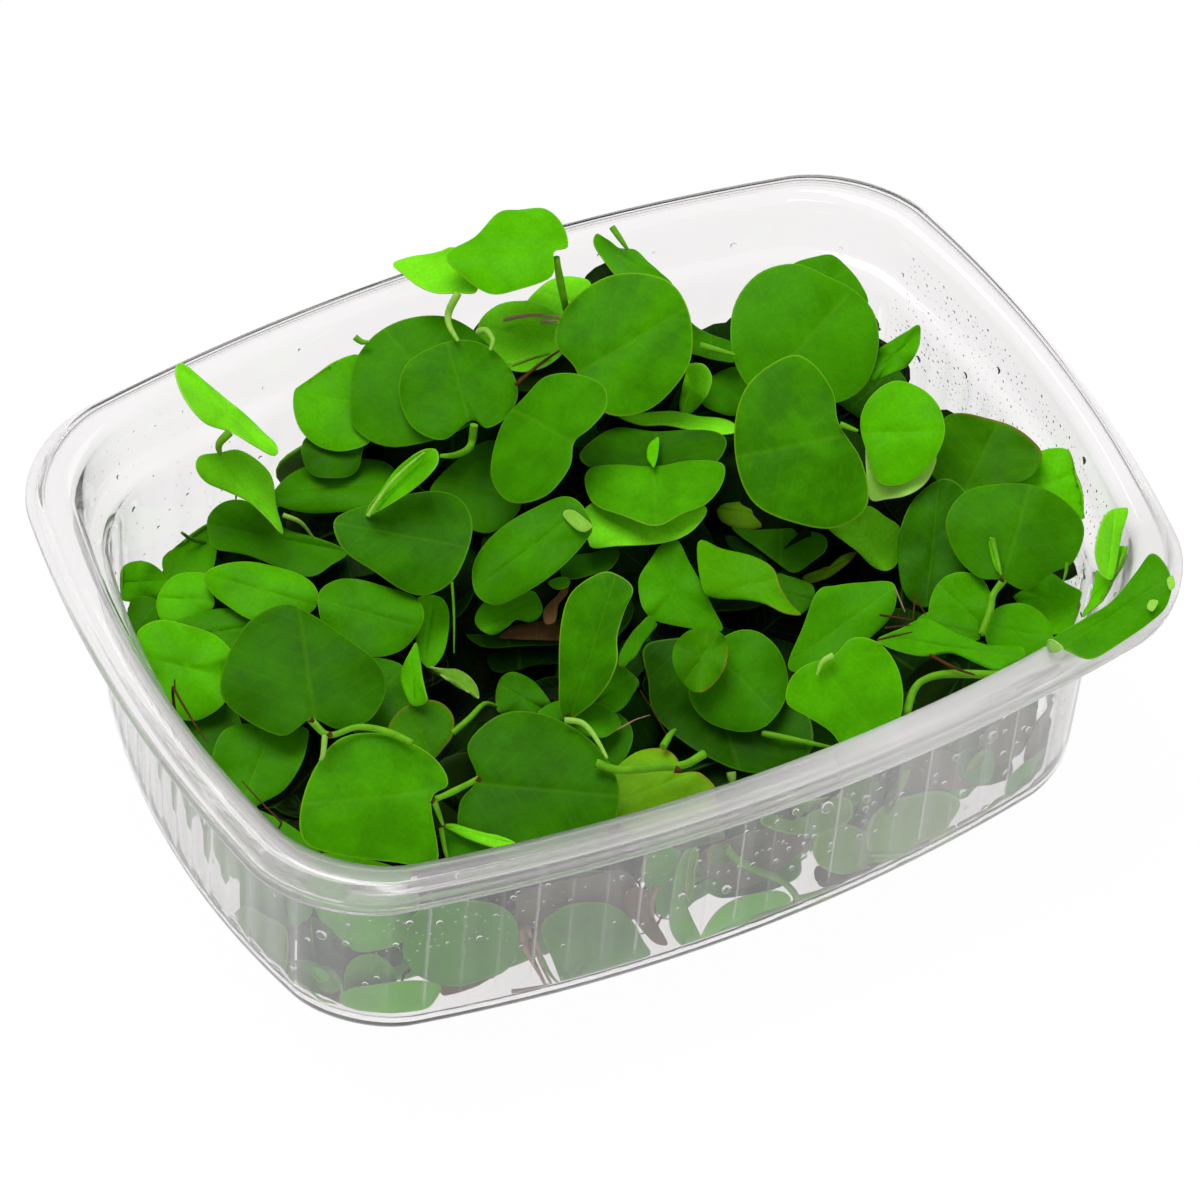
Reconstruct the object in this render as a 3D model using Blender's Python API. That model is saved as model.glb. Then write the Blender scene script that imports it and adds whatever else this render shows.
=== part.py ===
"""Red root floaters packed in a clear plastic tub.

The tub stands on the plane z = 0 with its centre over the origin. Its long side runs along X and
its front wall faces -Y. All sizes below are in millimetres and all angles in degrees.

Each leaf and stem is placed by where it shows in a 1200 by 1200 picture of the tub, taken from
above its front left corner, and by its height. They are laid down from the lowest to the highest,
and one that would cut into those already laid is raised towards the viewer until it is clear.
"""
import bpy
import numpy as np

MM = 0.001

# viewer: where the picture was taken from, and its axes
EYE = np.array([-244.54, -402.10, 530.88])
RIGHT = np.array([0.88373, -0.46448, 0.05729])
UP = np.array([0.30948, 0.67182, 0.67296])
BACK = np.array([-0.35107, -0.57698, 0.73746])
FOCAL_PX = 6877.0
MIDDLE_PX = 600.0

# tub outline at the rim: a rectangle with bowed sides and round corners
HALF_LENGTH = 54.0
HALF_WIDTH = 40.1
RIM_CORNER = 8.55
LONG_SIDE_BOW = 6.9
SHORT_SIDE_BOW = 5.7
# the same values where the wall meets the floor, this far inside the rim
FLOOR_INSET = 7.2
FLOOR_CORNER = 6.25
FLOOR_LONG_BOW = 6.45
FLOOR_SHORT_BOW = 7.05
OUTLINE_POINTS = 60
TURN_WEIGHT = 9.0            # mm of outline that one radian of turn counts for

# tub section, from the floor's underside round the rim to the floor's top: (inset, height)
TUB_UNDERSIDE = ((8.0, 0.0), (7.1, 0.15), (6.65, 0.6), (6.5, 3.0), (6.1, 22.4), (4.6, 23.9),
                 (3.75, 28.5), (3.1, 29.45), (1.8, 29.5), (1.35, 29.15), (1.05, 27.95),
                 (0.7, 27.5), (0.0, 27.5))
TUB_RIM_TOP = ((0.0, 28.25), (0.2, 28.45), (0.55, 28.45), (0.85, 29.6), (1.5, 30.0), (3.2, 30.0))
TUB_INSIDE = ((3.75, 29.6), (4.25, 28.5), (5.1, 24.1), (6.6, 22.6), (7.0, 3.2), (7.3, 1.3),
              (8.1, 0.6), (9.6, 0.5))
# the plants keep within this, a little further in near the floor
PLANT_ROOM = ((3.75, 29.6), (4.25, 28.5), (5.1, 24.1), (6.6, 22.6), (7.4, 3.2), (7.9, 1.4),
              (9.0, 0.65), (10.2, 0.5))
RIM_CLEAR_HEIGHT = 30.7      # what lies higher than this may pass over the rim

# leaves and stems
LEAF_THICKNESS = 0.5
LEAF_ANGLES = (180, 160, 130, 100, 65, 32, 0, -32, -65, -100, -130, -160)
LEAF_RINGS = (0.55, 1.0)
MIN_FACING = 0.4             # least share of a leaf's curl that is taken to face the viewer
NOTCH_TURN = 0.3             # half the notch at the stalk, in radians round the leaf
WALL_GAP = 0.75              # from a leaf's middle surface to the tub's inside
LAYER_GAP = 0.35             # between two layers, along the line of sight
CELL_PX = 3.0
GRID_CELLS = 400
STEM_SIDES = 6
STEM_STEPS_PER_SPAN = 2

# bed of buried plants
BED_FLOOR = 1.2
BED_HEIGHT = 19.0             # where no leaf is near
BED_RISE_TO_BACK = 4.0
BED_TOP = 27.0
BED_WALL_GAP = 0.5
BED_SIDE_HEIGHTS = (1.2, 3.2)
BED_SPOKES = 52
BED_RINGS = 8
BED_REACH = 7.5              # a leaf this near a bed point keeps the bed under it
BED_LEAF_GAP = 0.5

# colours, linear red, green, blue
PLASTIC = (0.82, 0.83, 0.85)
GREENS = {"bright": (0.09, 0.40, 0.004), "mid": (0.04, 0.26, 0.003), "dark": (0.015, 0.13, 0.003),
          "pale": (0.22, 0.42, 0.09), "olive": (0.13, 0.22, 0.01)}
STEM_GREEN = (0.26, 0.50, 0.07)
BED_GREEN = (0.02, 0.12, 0.005)

# from the lowest to the highest: name, then for a leaf
# stalk end px, tip px, width, slant from facing the viewer, side the face leans to, height,
# curl of its sides, curl of its ends, lobes, point of its tip, colour, node of its own
# and for a stem its points (px, px, height) and its radius
LAYERS = (
    ("i1", (590, 312), (535, 290), 11.0, 35, 90, 27.5, -10, 0, .04, .1, "mid", False),
    ("h1", (562, 340), (488, 322), 12.0, 35, 90, 26.0, 15, 0, .04, .2, "mid", False),
    ("leaf_top_back", (664, 284), (597, 238), 9.0, 60, 54, 31.0, 10, 10, .02, .3, "mid", True),
    ("b3", (795, 318), (862, 280), 11.5, 30, 80, 27.0, -10, 0, .04, .1, "mid", False),
    ("b4", (848, 410), (895, 368), 10.0, 30, 90, 22.0, 0, 0, .04, .1, "dark", False),
    ("leaf_back_point", (876, 366), (920, 328), 6.5, 30, 120, 30.0, 10, 0, .02, .8, "mid", True),
    ("rr", (216, 545), (170, 545), 9.0, 28, 90, 11.5, 0, 0, .05, .0, "mid", False),
    ("leaf_left_dark", (345, 552), (207, 524), 9.5, 26, 90, 16.5, 15, 0, .03, .1, "dark", True),
    ("leaf_glossy", (402, 488), (276, 497), 8.0, 42, 92, 20.0, -30, 0, .02, .2, "dark", True),
    ("e0", (362, 455), (302, 446), 7.0, 30, 90, 20.0, 0, 0, .04, .1, "dark", False),
    ("leaf_back_left", (390, 408), (295, 390), 11.0, 25, 90, 24.0, -10, 0, .04, .0, "bright", True),
    ("o1", (440, 470), (512, 490), 9.5, 25, 90, 20.0, 0, 0, .03, .1, "dark", False),
    ("leaf_far_left", (174, 584), (114, 586), 6.5, 40, 30, 16.0, -8, 0, .02, .4, "mid", True),
    ("s2", (158, 600), (125, 640), 6.0, 35, 110, 10.0, -10, 0, .0, .1, "dark", False),
    ("r1", (215, 600), (158, 598), 6.5, 26, 92, 14.0, -10, 0, .04, .0, "olive", False),
    ("g64", (250, 622), (190, 632), 6.5, 26, 90, 14.0, 0, 0, .03, .0, "dark", False),
    ("leaf_oval_left", (314, 606), (204, 575), 6.6, 26, 92, 18.0, -15, -8, .03, .0, "bright", True),
    ("g61", (428, 664), (437, 598), 5.0, 30, 90, 18.0, 0, 0, .0, .0, "dark", False),
    ("leaf_middle_left", (315, 606), (420, 634), 9.2, 26, 92, 20.0, -12, -8, .03, .0, "mid", True),
    ("yr", (345, 724), (404, 668), 8.5, 24, 90, 19.5, 0, 0, .03, .0, "dark", False),
    ("d66", (225, 705), (185, 752), 7.5, 30, 90, 14.0, 0, 0, .03, .0, "dark", False),
    ("leaf_heart", (470, 545), (335, 520), 11.0, 22, 95, 23.0, -12, 0, .05, .25, "mid", True),
    ("leaf_back_dark", (462, 430), (385, 336), 15.0, 24, 95, 26.0, -12, -8, .04, .0, "dark", True),
    ("leaf_kidney_left", (471, 421), (449, 341), 12.3, 20, 85, 29.0, -12, 0, .15, .0, "mid", True),
    ("leaf_rolled", (366, 515), (437, 451), 6.5, 45, 140, 27.0, 40, 0, .0, .3, "bright", True),
    ("leaf_pointed", (218, 452), (283, 534), 9.5, 24, 55, 23.0, -50, -10, .08, .7, "bright", True),
    ("leaf_standing_left", (229, 431), (246, 404), 13.6, 58, 48, 29.5, 10, 10, .03, .0, "bright", True),
    ("leaf_tall_left", (460, 287), (397, 261), 8.0, 45, 112, 33.5, 40, 0, .02, .3, "bright", True),
    ("stem_top", ((556, 258, 37.0), (561, 285, 33.5), (568, 318, 29.0)), 0.38, True),
    ("leaf_top", (553, 250), (446, 253), 12.0, 34, 92, 37.5, -26, 0, .13, .3, "bright", True),
    ("u2", (718, 372), (745, 412), 7.5, 30, 60, 21.0, 15, 0, .0, .2, "mid", False),
    ("u1", (684, 416), (703, 366), 5.0, 45, 170, 23.0, 15, 0, .0, .2, "mid", False),
    ("n1", (735, 426), (630, 416), 7.0, 70, 88, 21.0, 10, 10, .0, .3, "mid", False),
    ("leaf_under_half", (652, 482), (655, 434), 14.8, 40, 90, 21.0, 10, 0, .02, .0, "dark", True),
    ("leaf_round_back", (581, 367), (682, 305), 14.8, 18, 90, 31.0, -12, 0, .08, .0, "bright", True),
    ("leaf_bean", (573, 442), (518, 411), 15.5, 42, 140, 29.0, -10, 0, .10, .0, "mid", True),
    ("w51", (716, 510), (775, 520), 5.0, 30, 90, 18.0, -20, 0, .0, .2, "olive", False),
    ("q3", (802, 578), (858, 552), 3.0, 40, 90, 18.0, -20, 0, .0, .2, "olive", False),
    ("leaf_under_middle", (706, 645), (748, 772), 15.5, 24, 90, 18.0, 12, 0, .04, .0, "dark", True),
    ("leaf_round_middle", (706, 655), (765, 716), 10.3, 18, 90, 21.0, -12, 0, .06, .0, "mid", True),
    ("leaf_folded_left", (662, 543), (702, 628), 9.0, 18, 90, 21.5, 10, -10, .03, .0, "mid", True),
    ("leaf_red_edge", (722, 632), (684, 686), 6.0, 20, 90, 24.0, 10, 0, .0, .0, "olive", True),
    ("q2", (780, 585), (815, 595), 6.0, 26, 90, 21.0, 0, 0, .0, .2, "dark", False),
    ("leaf_folded_right", (700, 590), (790, 568), 7.8, 24, 100, 23.5, 20, 0, .02, .0, "bright", True),
    ("leaf_half_lower", (640, 497), (640, 546), 12.4, 33, 90, 21.5, 0, 0, .02, .0, "mid", True),
    ("leaf_half_moon", (654, 466), (657, 524), 14.6, 42, 90, 25.0, -12, 0, .02, .1, "bright", True),
    ("q1", (535, 600), (484, 626), 5.0, 30, 90, 19.5, -20, 0, .0, .2, "mid", False),
    ("leaf_oval_middle", (588, 516), (480, 598), 8.6, 20, 115, 25.0, -12, -10, .03, .1, "mid", True),
    ("v52", (835, 530), (892, 560), 6.0, 28, 80, 20.0, 0, 0, .0, .2, "mid", False),
    ("leaf_round_far", (750, 392), (858, 275), 14.0, 16, 80, 30.0, -10, -8, .04, .0, "mid", True),
    ("leaf_slant", (790, 662), (890, 592), 8.6, 18, 90, 22.5, 0, -8, .02, .0, "mid", True),
    ("leaf_right_back", (1008, 502), (1088, 478), 9.4, 22, 85, 26.0, -8, 0, .04, .0, "bright", True),
    ("leaf_right_curled", (965, 490), (1000, 420), 11.5, 22, 85, 27.0, 35, 20, .04, .0, "dark", True),
    ("leaf_right_tall", (930, 606), (945, 482), 8.6, 20, 110, 24.5, 12, 0, .02, .1, "mid", True),
    ("d1", (1010, 600), (1085, 606), 7.0, 32, 90, 21.5, 0, 0, .04, .1, "dark", False),
    ("leaf_right_small", (985, 625), (940, 582), 8.0, 18, 90, 24.5, -10, 0, .04, .0, "bright", True),
    ("s62", (978, 637), (918, 622), 7.0, 26, 90, 24.5, -30, 0, .02, .0, "mid", False),
    ("leaf_right_big", (1003, 580), (1032, 487), 14.0, 18, 92, 28.5, -12, -8, .06, .0, "dark", True),
    ("leaf_pale_under", (868, 445), (930, 490), 9.0, 18, 80, 28.5, 0, 0, .03, .0, "pale", True),
    ("leaf_round_bright", (861, 432), (945, 430), 11.2, 14, 90, 30.5, -10, 0, .03, .0, "bright", True),
    ("leaf_big_middle", (845, 430), (740, 452), 17.4, 14, 95, 32.0, -12, -8, .20, .0, "bright", True),
    ("x1", (1092, 610), (1142, 552), 6.4, 30, 140, 29.0, 0, 0, .03, .2, "bright", False),
    ("x2", (1108, 580), (1083, 617), 4.0, 40, 140, 27.5, 0, 0, .0, .2, "bright", False),
    ("leaf_standing_right", (1112, 584), (1124, 508), 7.0, 50, 20, 31.5, 10, 0, .0, .2, "bright", True),
    ("leaf_right_front", (985, 640), (1045, 650), 9.0, 18, 80, 24.5, -10, 0, .04, .0, "mid", True),
    ("stem_right", ((1003, 581, 27.5), (993, 595, 27.0), (990, 610, 26.5), (981, 635, 25.5)), 0.36, True),
    ("leaf_wavy", (878, 640), (1021, 664), 5.5, 36, 85, 26.5, 0, 10, .0, .2, "mid", True),
    ("stem_bent", ((906, 714, 24.5), (914, 690, 24.8), (926, 679, 25.0), (950, 674, 25.0), (1003, 675, 24.5)),
     0.38, True),
    ("leaf_kidney_right", (826, 655), (880, 732), 12.6, 10, 90, 27.0, -10, 0, .12, .0, "bright", True),
    ("z0", (575, 712), (612, 768), 8.0, 28, 90, 18.5, 0, 0, .04, .0, "mid", False),
    ("z1", (602, 706), (640, 680), 6.0, 28, 90, 19.0, 0, 0, .03, .1, "dark", False),
    ("z2", (540, 702), (503, 682), 6.0, 28, 90, 18.0, 0, 0, .03, .0, "dark", False),
    ("z3", (590, 735), (570, 700), 6.0, 28, 90, 20.0, 0, 0, .0, .2, "mid", False),
    ("leaf_olive_front", (690, 778), (618, 805), 8.4, 22, 90, 21.5, -20, 0, .04, .0, "olive", True),
    ("leaf_front_big", (478, 779), (619, 792), 13.8, 24, 90, 24.0, -12, -8, .13, .0, "dark", True),
    ("stem_front", ((596, 763, 26.5), (620, 770, 26.0), (655, 767, 25.5), (683, 765, 25.2), (704, 754, 25.0)),
     0.42, True),
    ("stem_thick", ((620, 665, 22.0), (635, 645, 22.0), (652, 623, 22.0)), 0.5, True),
    ("leaf_tall_middle", (567, 717), (612, 575), 7.6, 20, 140, 26.5, 45, -10, .0, .0, "bright", True),
    ("leaf_red_round", (432, 757), (412, 705), 6.4, 24, 90, 22.5, -12, 0, .04, .1, "olive", True),
    ("leaf_left_bright", (228, 672), (134, 648), 10.3, 18, 90, 18.0, -12, 0, .05, .0, "bright", True),
    ("leaf_front_left", (275, 728), (244, 812), 9.0, 22, 100, 18.5, 10, 0, .03, .1, "dark", True),
    ("leaf_big_left", (310, 718), (292, 606), 16.6, 26, 90, 24.0, -16, -10, .10, .0, "dark", True),
    ("l69", (322, 858), (252, 809), 5.2, 30, 90, 17.0, 0, 0, .0, .3, "mid", False),
    ("leaf_corner_hanging", (365, 868), (366, 947), 10.6, 46, -93, 17.0, -20, 0, .04, .0, "bright", True),
    ("leaf_front_bright", (435, 797), (302, 808), 12.6, 14, 90, 26.0, -12, -8, .13, .0, "bright", True),
    ("stem_fork", ((311, 720, 28.0), (329, 735, 28.0), (358, 727, 28.5), (388, 732, 28.3), (412, 743, 28.0)),
     0.32, True),
    ("stem_link", ((436, 799, 27.5), (452, 792, 27.5), (478, 779, 27.0)), 0.3, True),
    ("t81", (421, 705), (415, 645), 3.2, 30, 150, 22.0, 0, 0, .0, .6, "bright", False),
    ("q4", (479, 698), (430, 667), 3.5, 40, 90, 21.0, -20, 0, .0, .2, "olive", False),
    ("q5", (443, 830), (500, 852), 5.0, 35, 90, 21.5, 10, 0, .0, .2, "mid", False),
    ("t73", (443, 827), (520, 846), 3.4, 40, 90, 24.0, -20, 0, .0, .4, "bright", False),
    ("leaf_over_rim", (1050, 648), (1174, 570), 7.4, 36, 97, 33.0, -6, 4, .0, .1, "mid", True),
)

# leaf outlines as they show, 12 points read off the picture for each: from the stalk end on,
# against the clock; a leaf without a row here is drawn from its width, lobes and point
OUTLINES = {
    "h1": ((566, 345), (560, 318), (540, 304), (518, 301), (498, 305), (482, 318), (477, 333),
        (484, 350), (500, 365), (520, 372), (542, 368), (558, 358)),
    "i1": ((592, 300), (590, 282), (575, 277), (562, 277), (549, 281), (537, 290), (527, 302),
        (533, 312), (547, 318), (562, 320), (576, 317), (586, 309)),
    "leaf_top_back": ((664, 292), (672, 284), (660, 272), (648, 262), (635, 250), (618, 248),
        (605, 238), (596, 234), (594, 245), (605, 262), (620, 280), (640, 293)),
    "b3": ((800, 320), (850, 330), (868, 305), (860, 283), (846, 266), (832, 255), (815, 257),
        (795, 263), (780, 275), (775, 290), (780, 305), (790, 315)),
    "leaf_back_point": ((872, 382), (882, 378), (892, 373), (906, 367), (915, 355), (920, 341),
        (919, 325), (906, 332), (893, 340), (880, 348), (871, 358), (868, 370)),
    "rr": ((217, 545), (214, 518), (203, 510), (186, 513), (170, 518), (163, 530), (165, 541),
        (163, 555), (163, 570), (175, 585), (195, 588), (212, 572)),
    "leaf_left_dark": ((318, 538), (290, 531), (268, 517), (247, 501), (224, 502), (208, 517),
        (209, 537), (216, 549), (250, 556), (305, 577), (332, 565), (347, 552)),
    "leaf_glossy": ((400, 482), (388, 464), (362, 459), (335, 460), (308, 466), (286, 478), (271, 498),
        (285, 508), (310, 513), (340, 512), (365, 509), (388, 500)),
    "leaf_back_left": ((385, 405), (380, 370), (358, 355), (335, 357), (317, 360), (302, 373),
        (294, 392), (294, 412), (302, 432), (320, 447), (345, 451), (372, 440)),
    "o1": ((505, 462), (495, 441), (475, 446), (455, 462), (440, 476), (430, 492), (445, 510),
        (468, 528), (490, 533), (512, 520), (522, 503), (520, 482)),
    "leaf_far_left": ((172, 586), (163, 573), (152, 564), (141, 561), (129, 563), (119, 570),
        (113, 580), (114, 592), (122, 600), (137, 602), (150, 600), (163, 596)),
    "s2": ((160, 612), (156, 600), (142, 597), (127, 602), (116, 612), (115, 625), (120, 640),
        (128, 655), (138, 660), (148, 655), (155, 640), (159, 626)),
    "r1": ((214, 600), (206, 576), (190, 573), (177, 575), (166, 583), (158, 596), (157, 608),
        (162, 620), (178, 622), (195, 618), (206, 614), (212, 609)),
    "g64": ((250, 622), (240, 612), (222, 609), (200, 613), (182, 620), (178, 632), (185, 645),
        (200, 652), (216, 655), (232, 652), (242, 642), (249, 633)),
    "leaf_oval_left": ((318, 602), (315, 587), (300, 575), (275, 567), (246, 562), (218, 566),
        (204, 576), (211, 592), (228, 606), (252, 620), (282, 622), (308, 614)),
    "g61": ((432, 668), (443, 655), (448, 635), (449, 612), (443, 599), (430, 595), (417, 599),
        (415, 612), (414, 626), (416, 640), (418, 655), (424, 665)),
    "leaf_middle_left": ((318, 605), (325, 628), (345, 648), (374, 657), (400, 651), (417, 634),
        (424, 614), (414, 597), (388, 588), (360, 580), (338, 580), (321, 590)),
    "leaf_heart": ((472, 532), (464, 504), (442, 492), (412, 494), (384, 502), (352, 510), (334, 523),
        (344, 550), (374, 571), (405, 591), (430, 594), (456, 576)),
    "leaf_back_dark": ((460, 430), (490, 400), (500, 365), (482, 338), (455, 320), (428, 316),
        (398, 322), (372, 338), (354, 365), (350, 398), (356, 430), (395, 447)),
    "leaf_kidney_left": ((471, 420), (487, 428), (508, 416), (518, 393), (508, 365), (485, 345),
        (458, 340), (428, 349), (405, 366), (399, 395), (412, 427), (443, 440)),
    "leaf_rolled": ((366, 516), (378, 511), (395, 501), (412, 490), (428, 476), (438, 462), (436, 450),
        (424, 450), (408, 459), (394, 472), (382, 489), (370, 505)),
    "leaf_pointed": ((219, 453), (200, 456), (196, 468), (206, 482), (228, 492), (250, 503),
        (268, 519), (283, 534), (276, 506), (272, 478), (258, 461), (238, 450)),
    "leaf_standing_left": ((231, 432), (253, 445), (274, 456), (277, 446), (262, 431), (243, 412),
        (225, 398), (203, 380), (182, 363), (175, 372), (184, 398), (205, 423)),
    "leaf_tall_left": ((458, 293), (476, 292), (478, 272), (468, 255), (453, 247), (440, 251),
        (428, 254), (410, 257), (393, 264), (404, 275), (418, 286), (436, 293)),
    "leaf_top": ((554, 252), (568, 246), (562, 224), (545, 209), (520, 210), (498, 213), (475, 237),
        (446, 255), (462, 276), (490, 294), (520, 289), (552, 276)),
    "u1": ((684, 416), (694, 411), (702, 402), (708, 393), (712, 378), (706, 366), (697, 363),
        (688, 365), (685, 376), (682, 388), (680, 400), (680, 410)),
    "n1": ((737, 432), (734, 424), (722, 419), (700, 417), (685, 413), (668, 411), (645, 413),
        (618, 416), (640, 425), (665, 425), (690, 430), (712, 435)),
    "leaf_under_half": ((655, 432), (620, 428), (598, 437), (580, 455), (592, 468), (620, 475),
        (655, 478), (695, 475), (718, 460), (726, 442), (715, 432), (690, 430)),
    "leaf_round_back": ((575, 368), (588, 400), (615, 416), (648, 410), (674, 388), (691, 358),
        (690, 316), (672, 284), (637, 273), (600, 280), (566, 308), (555, 342)),
    "leaf_bean": ((574, 442), (590, 428), (606, 408), (603, 386), (575, 374), (546, 377), (526, 396),
        (502, 425), (491, 474), (510, 502), (545, 496), (569, 468)),
    "w51": ((716, 508), (720, 520), (732, 527), (748, 530), (764, 527), (778, 520), (768, 512),
        (755, 505), (745, 498), (735, 499), (725, 501), (718, 504)),
    "q3": ((802, 578), (806, 583), (816, 582), (828, 578), (840, 570), (850, 561), (858, 552),
        (848, 553), (838, 560), (828, 567), (820, 570), (808, 575)),
    "leaf_under_middle": ((662, 640), (643, 650), (648, 680), (652, 710), (672, 733), (706, 756),
        (745, 772), (785, 771), (812, 748), (806, 710), (770, 670), (715, 640)),
    "leaf_round_middle": ((708, 652), (692, 675), (690, 700), (708, 722), (740, 732), (766, 726),
        (784, 703), (788, 678), (780, 652), (762, 634), (742, 630), (722, 638)),
    "leaf_folded_left": ((656, 621), (688, 628), (722, 631), (713, 608), (702, 585), (688, 560),
        (677, 540), (661, 545), (650, 560), (639, 578), (640, 600), (646, 613)),
    "leaf_red_edge": ((706, 628), (690, 630), (676, 642), (672, 658), (678, 677), (690, 690),
        (703, 692), (716, 682), (725, 668), (728, 650), (724, 636), (716, 630)),
    "q2": ((803, 613), (812, 604), (815, 595), (812, 585), (800, 580), (788, 576), (778, 574),
        (772, 585), (774, 597), (780, 606), (788, 612), (796, 615)),
    "leaf_folded_right": ((702, 588), (715, 598), (745, 600), (765, 604), (784, 613), (801, 615),
        (791, 604), (781, 588), (773, 568), (752, 556), (722, 549), (698, 542)),
    "leaf_half_lower": ((640, 497), (600, 500), (582, 515), (588, 540), (594, 548), (615, 546),
        (640, 545), (662, 543), (682, 537), (698, 525), (706, 508), (680, 497)),
    "leaf_half_moon": ((655, 467), (618, 465), (592, 468), (585, 481), (594, 504), (624, 516),
        (656, 526), (684, 513), (706, 504), (722, 484), (722, 464), (690, 461)),
    "q1": ((540, 600), (530, 591), (505, 603), (488, 601), (478, 610), (475, 622), (482, 631),
        (494, 635), (506, 628), (517, 619), (532, 622), (542, 613)),
    "leaf_oval_middle": ((592, 526), (580, 503), (562, 497), (535, 508), (508, 523), (486, 543),
        (473, 567), (476, 594), (497, 605), (530, 590), (562, 567), (585, 542)),
    "v52": ((868, 506), (852, 516), (838, 524), (829, 529), (842, 540), (858, 552), (872, 566),
        (886, 571), (897, 564), (899, 547), (900, 528), (886, 517)),
    "leaf_round_far": ((758, 395), (800, 404), (840, 402), (866, 384), (878, 350), (875, 316),
        (856, 292), (828, 277), (795, 264), (757, 275), (733, 310), (734, 360)),
    "leaf_slant": ((788, 665), (803, 672), (830, 662), (855, 650), (872, 636), (888, 620), (896, 602),
        (892, 583), (862, 583), (835, 586), (817, 592), (803, 627)),
    "leaf_right_back": ((1012, 490), (1035, 508), (1065, 520), (1085, 518), (1093, 503), (1093, 482),
        (1087, 463), (1072, 451), (1056, 448), (1038, 452), (1020, 462), (1011, 475)),
    "leaf_right_curled": ((975, 495), (1003, 486), (1030, 478), (1042, 455), (1030, 438), (1012, 426),
        (990, 419), (962, 413), (944, 419), (934, 446), (930, 470), (948, 490)),
    "leaf_right_tall": ((932, 606), (955, 592), (968, 560), (972, 520), (965, 492), (948, 479),
        (930, 485), (910, 505), (899, 535), (898, 562), (903, 590), (916, 605)),
    "d1": ((1015, 600), (1035, 628), (1058, 634), (1078, 622), (1088, 606), (1082, 592), (1066, 583),
        (1052, 574), (1040, 580), (1028, 588), (1020, 592), (1014, 596)),
    "leaf_right_small": ((986, 624), (993, 610), (991, 595), (981, 578), (962, 572), (945, 577),
        (934, 590), (929, 606), (930, 622), (945, 632), (960, 634), (975, 630)),
    "s62": ((980, 637), (976, 622), (965, 612), (948, 608), (931, 611), (917, 620), (925, 630),
        (940, 638), (952, 642), (962, 644), (970, 643), (977, 640)),
    "leaf_right_big": ((1002, 580), (1026, 590), (1052, 573), (1074, 561), (1084, 528), (1066, 502),
        (1036, 486), (1000, 484), (965, 492), (946, 520), (955, 554), (978, 577)),
    "leaf_pale_under": ((866, 440), (866, 470), (870, 499), (888, 499), (908, 495), (925, 484),
        (934, 468), (936, 455), (925, 440), (905, 432), (885, 430), (872, 433)),
    "leaf_round_bright": ((861, 432), (868, 455), (878, 482), (900, 485), (921, 474), (937, 455),
        (945, 430), (938, 405), (920, 388), (895, 381), (874, 393), (862, 412)),
    "leaf_big_middle": ((839, 424), (833, 392), (812, 363), (788, 356), (750, 382), (735, 422),
        (738, 470), (756, 505), (795, 523), (836, 528), (867, 506), (862, 462)),
    "x1": ((1112, 600), (1122, 592), (1132, 582), (1140, 569), (1141, 559), (1135, 550), (1126, 546),
        (1117, 548), (1112, 560), (1108, 575), (1105, 590), (1106, 600)),
    "x2": ((1083, 617), (1098, 605), (1112, 597), (1112, 588), (1108, 580), (1102, 576), (1097, 570),
        (1095, 580), (1092, 590), (1090, 600), (1087, 608), (1084, 613)),
    "leaf_standing_right": ((1112, 579), (1116, 565), (1119, 548), (1122, 532), (1128, 510),
        (1119, 508), (1109, 511), (1102, 521), (1097, 537), (1095, 552), (1098, 567), (1104, 577)),
    "leaf_right_front": ((988, 618), (985, 635), (992, 652), (1008, 664), (1028, 668), (1046, 658),
        (1053, 640), (1050, 625), (1040, 612), (1025, 604), (1008, 604), (996, 609)),
    "leaf_wavy": ((877, 640), (895, 650), (922, 656), (950, 653), (978, 664), (1008, 675), (1020, 668),
        (1023, 648), (990, 646), (955, 633), (925, 619), (900, 629)),
    "leaf_kidney_right": ((833, 656), (806, 665), (790, 680), (787, 703), (808, 717), (830, 731),
        (850, 752), (885, 745), (902, 710), (899, 672), (880, 644), (853, 638)),
    "z1": ((600, 706), (614, 712), (625, 706), (633, 694), (639, 682), (630, 672), (620, 665),
        (612, 672), (606, 680), (600, 690), (596, 698), (596, 703)),
    "z2": ((550, 702), (540, 688), (530, 679), (514, 672), (502, 677), (496, 692), (497, 710),
        (505, 714), (520, 713), (533, 713), (541, 711), (547, 708)),
    "z3": ((560, 722), (585, 735), (602, 738), (614, 732), (621, 726), (616, 714), (603, 705),
        (588, 702), (570, 700), (552, 703), (537, 714), (548, 722)),
    "leaf_front_big": ((477, 779), (460, 803), (462, 838), (500, 862), (550, 858), (600, 840),
        (619, 808), (614, 772), (588, 738), (545, 715), (502, 714), (468, 744)),
    "leaf_tall_middle": ((562, 719), (586, 709), (606, 687), (617, 662), (617, 637), (624, 612),
        (633, 589), (618, 575), (600, 573), (572, 592), (561, 625), (559, 675)),
    "leaf_red_round": ((453, 735), (453, 716), (441, 703), (424, 700), (406, 706), (394, 717),
        (388, 730), (392, 745), (405, 757), (420, 763), (434, 759), (444, 748)),
    "leaf_left_bright": ((228, 668), (232, 653), (216, 636), (190, 626), (160, 620), (138, 631),
        (132, 654), (142, 687), (162, 711), (192, 721), (216, 711), (228, 695)),
    "leaf_front_left": ((275, 726), (245, 724), (222, 732), (212, 757), (216, 775), (230, 797),
        (243, 812), (262, 803), (284, 790), (300, 767), (307, 745), (306, 728)),
    "leaf_big_left": ((311, 719), (338, 729), (370, 720), (386, 690), (377, 662), (345, 637),
        (312, 615), (284, 604), (247, 624), (222, 672), (228, 706), (280, 736)),
    "l69": ((322, 855), (304, 836), (288, 824), (270, 815), (253, 808), (247, 812), (255, 826),
        (270, 842), (288, 858), (305, 868), (318, 870), (324, 864)),
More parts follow.
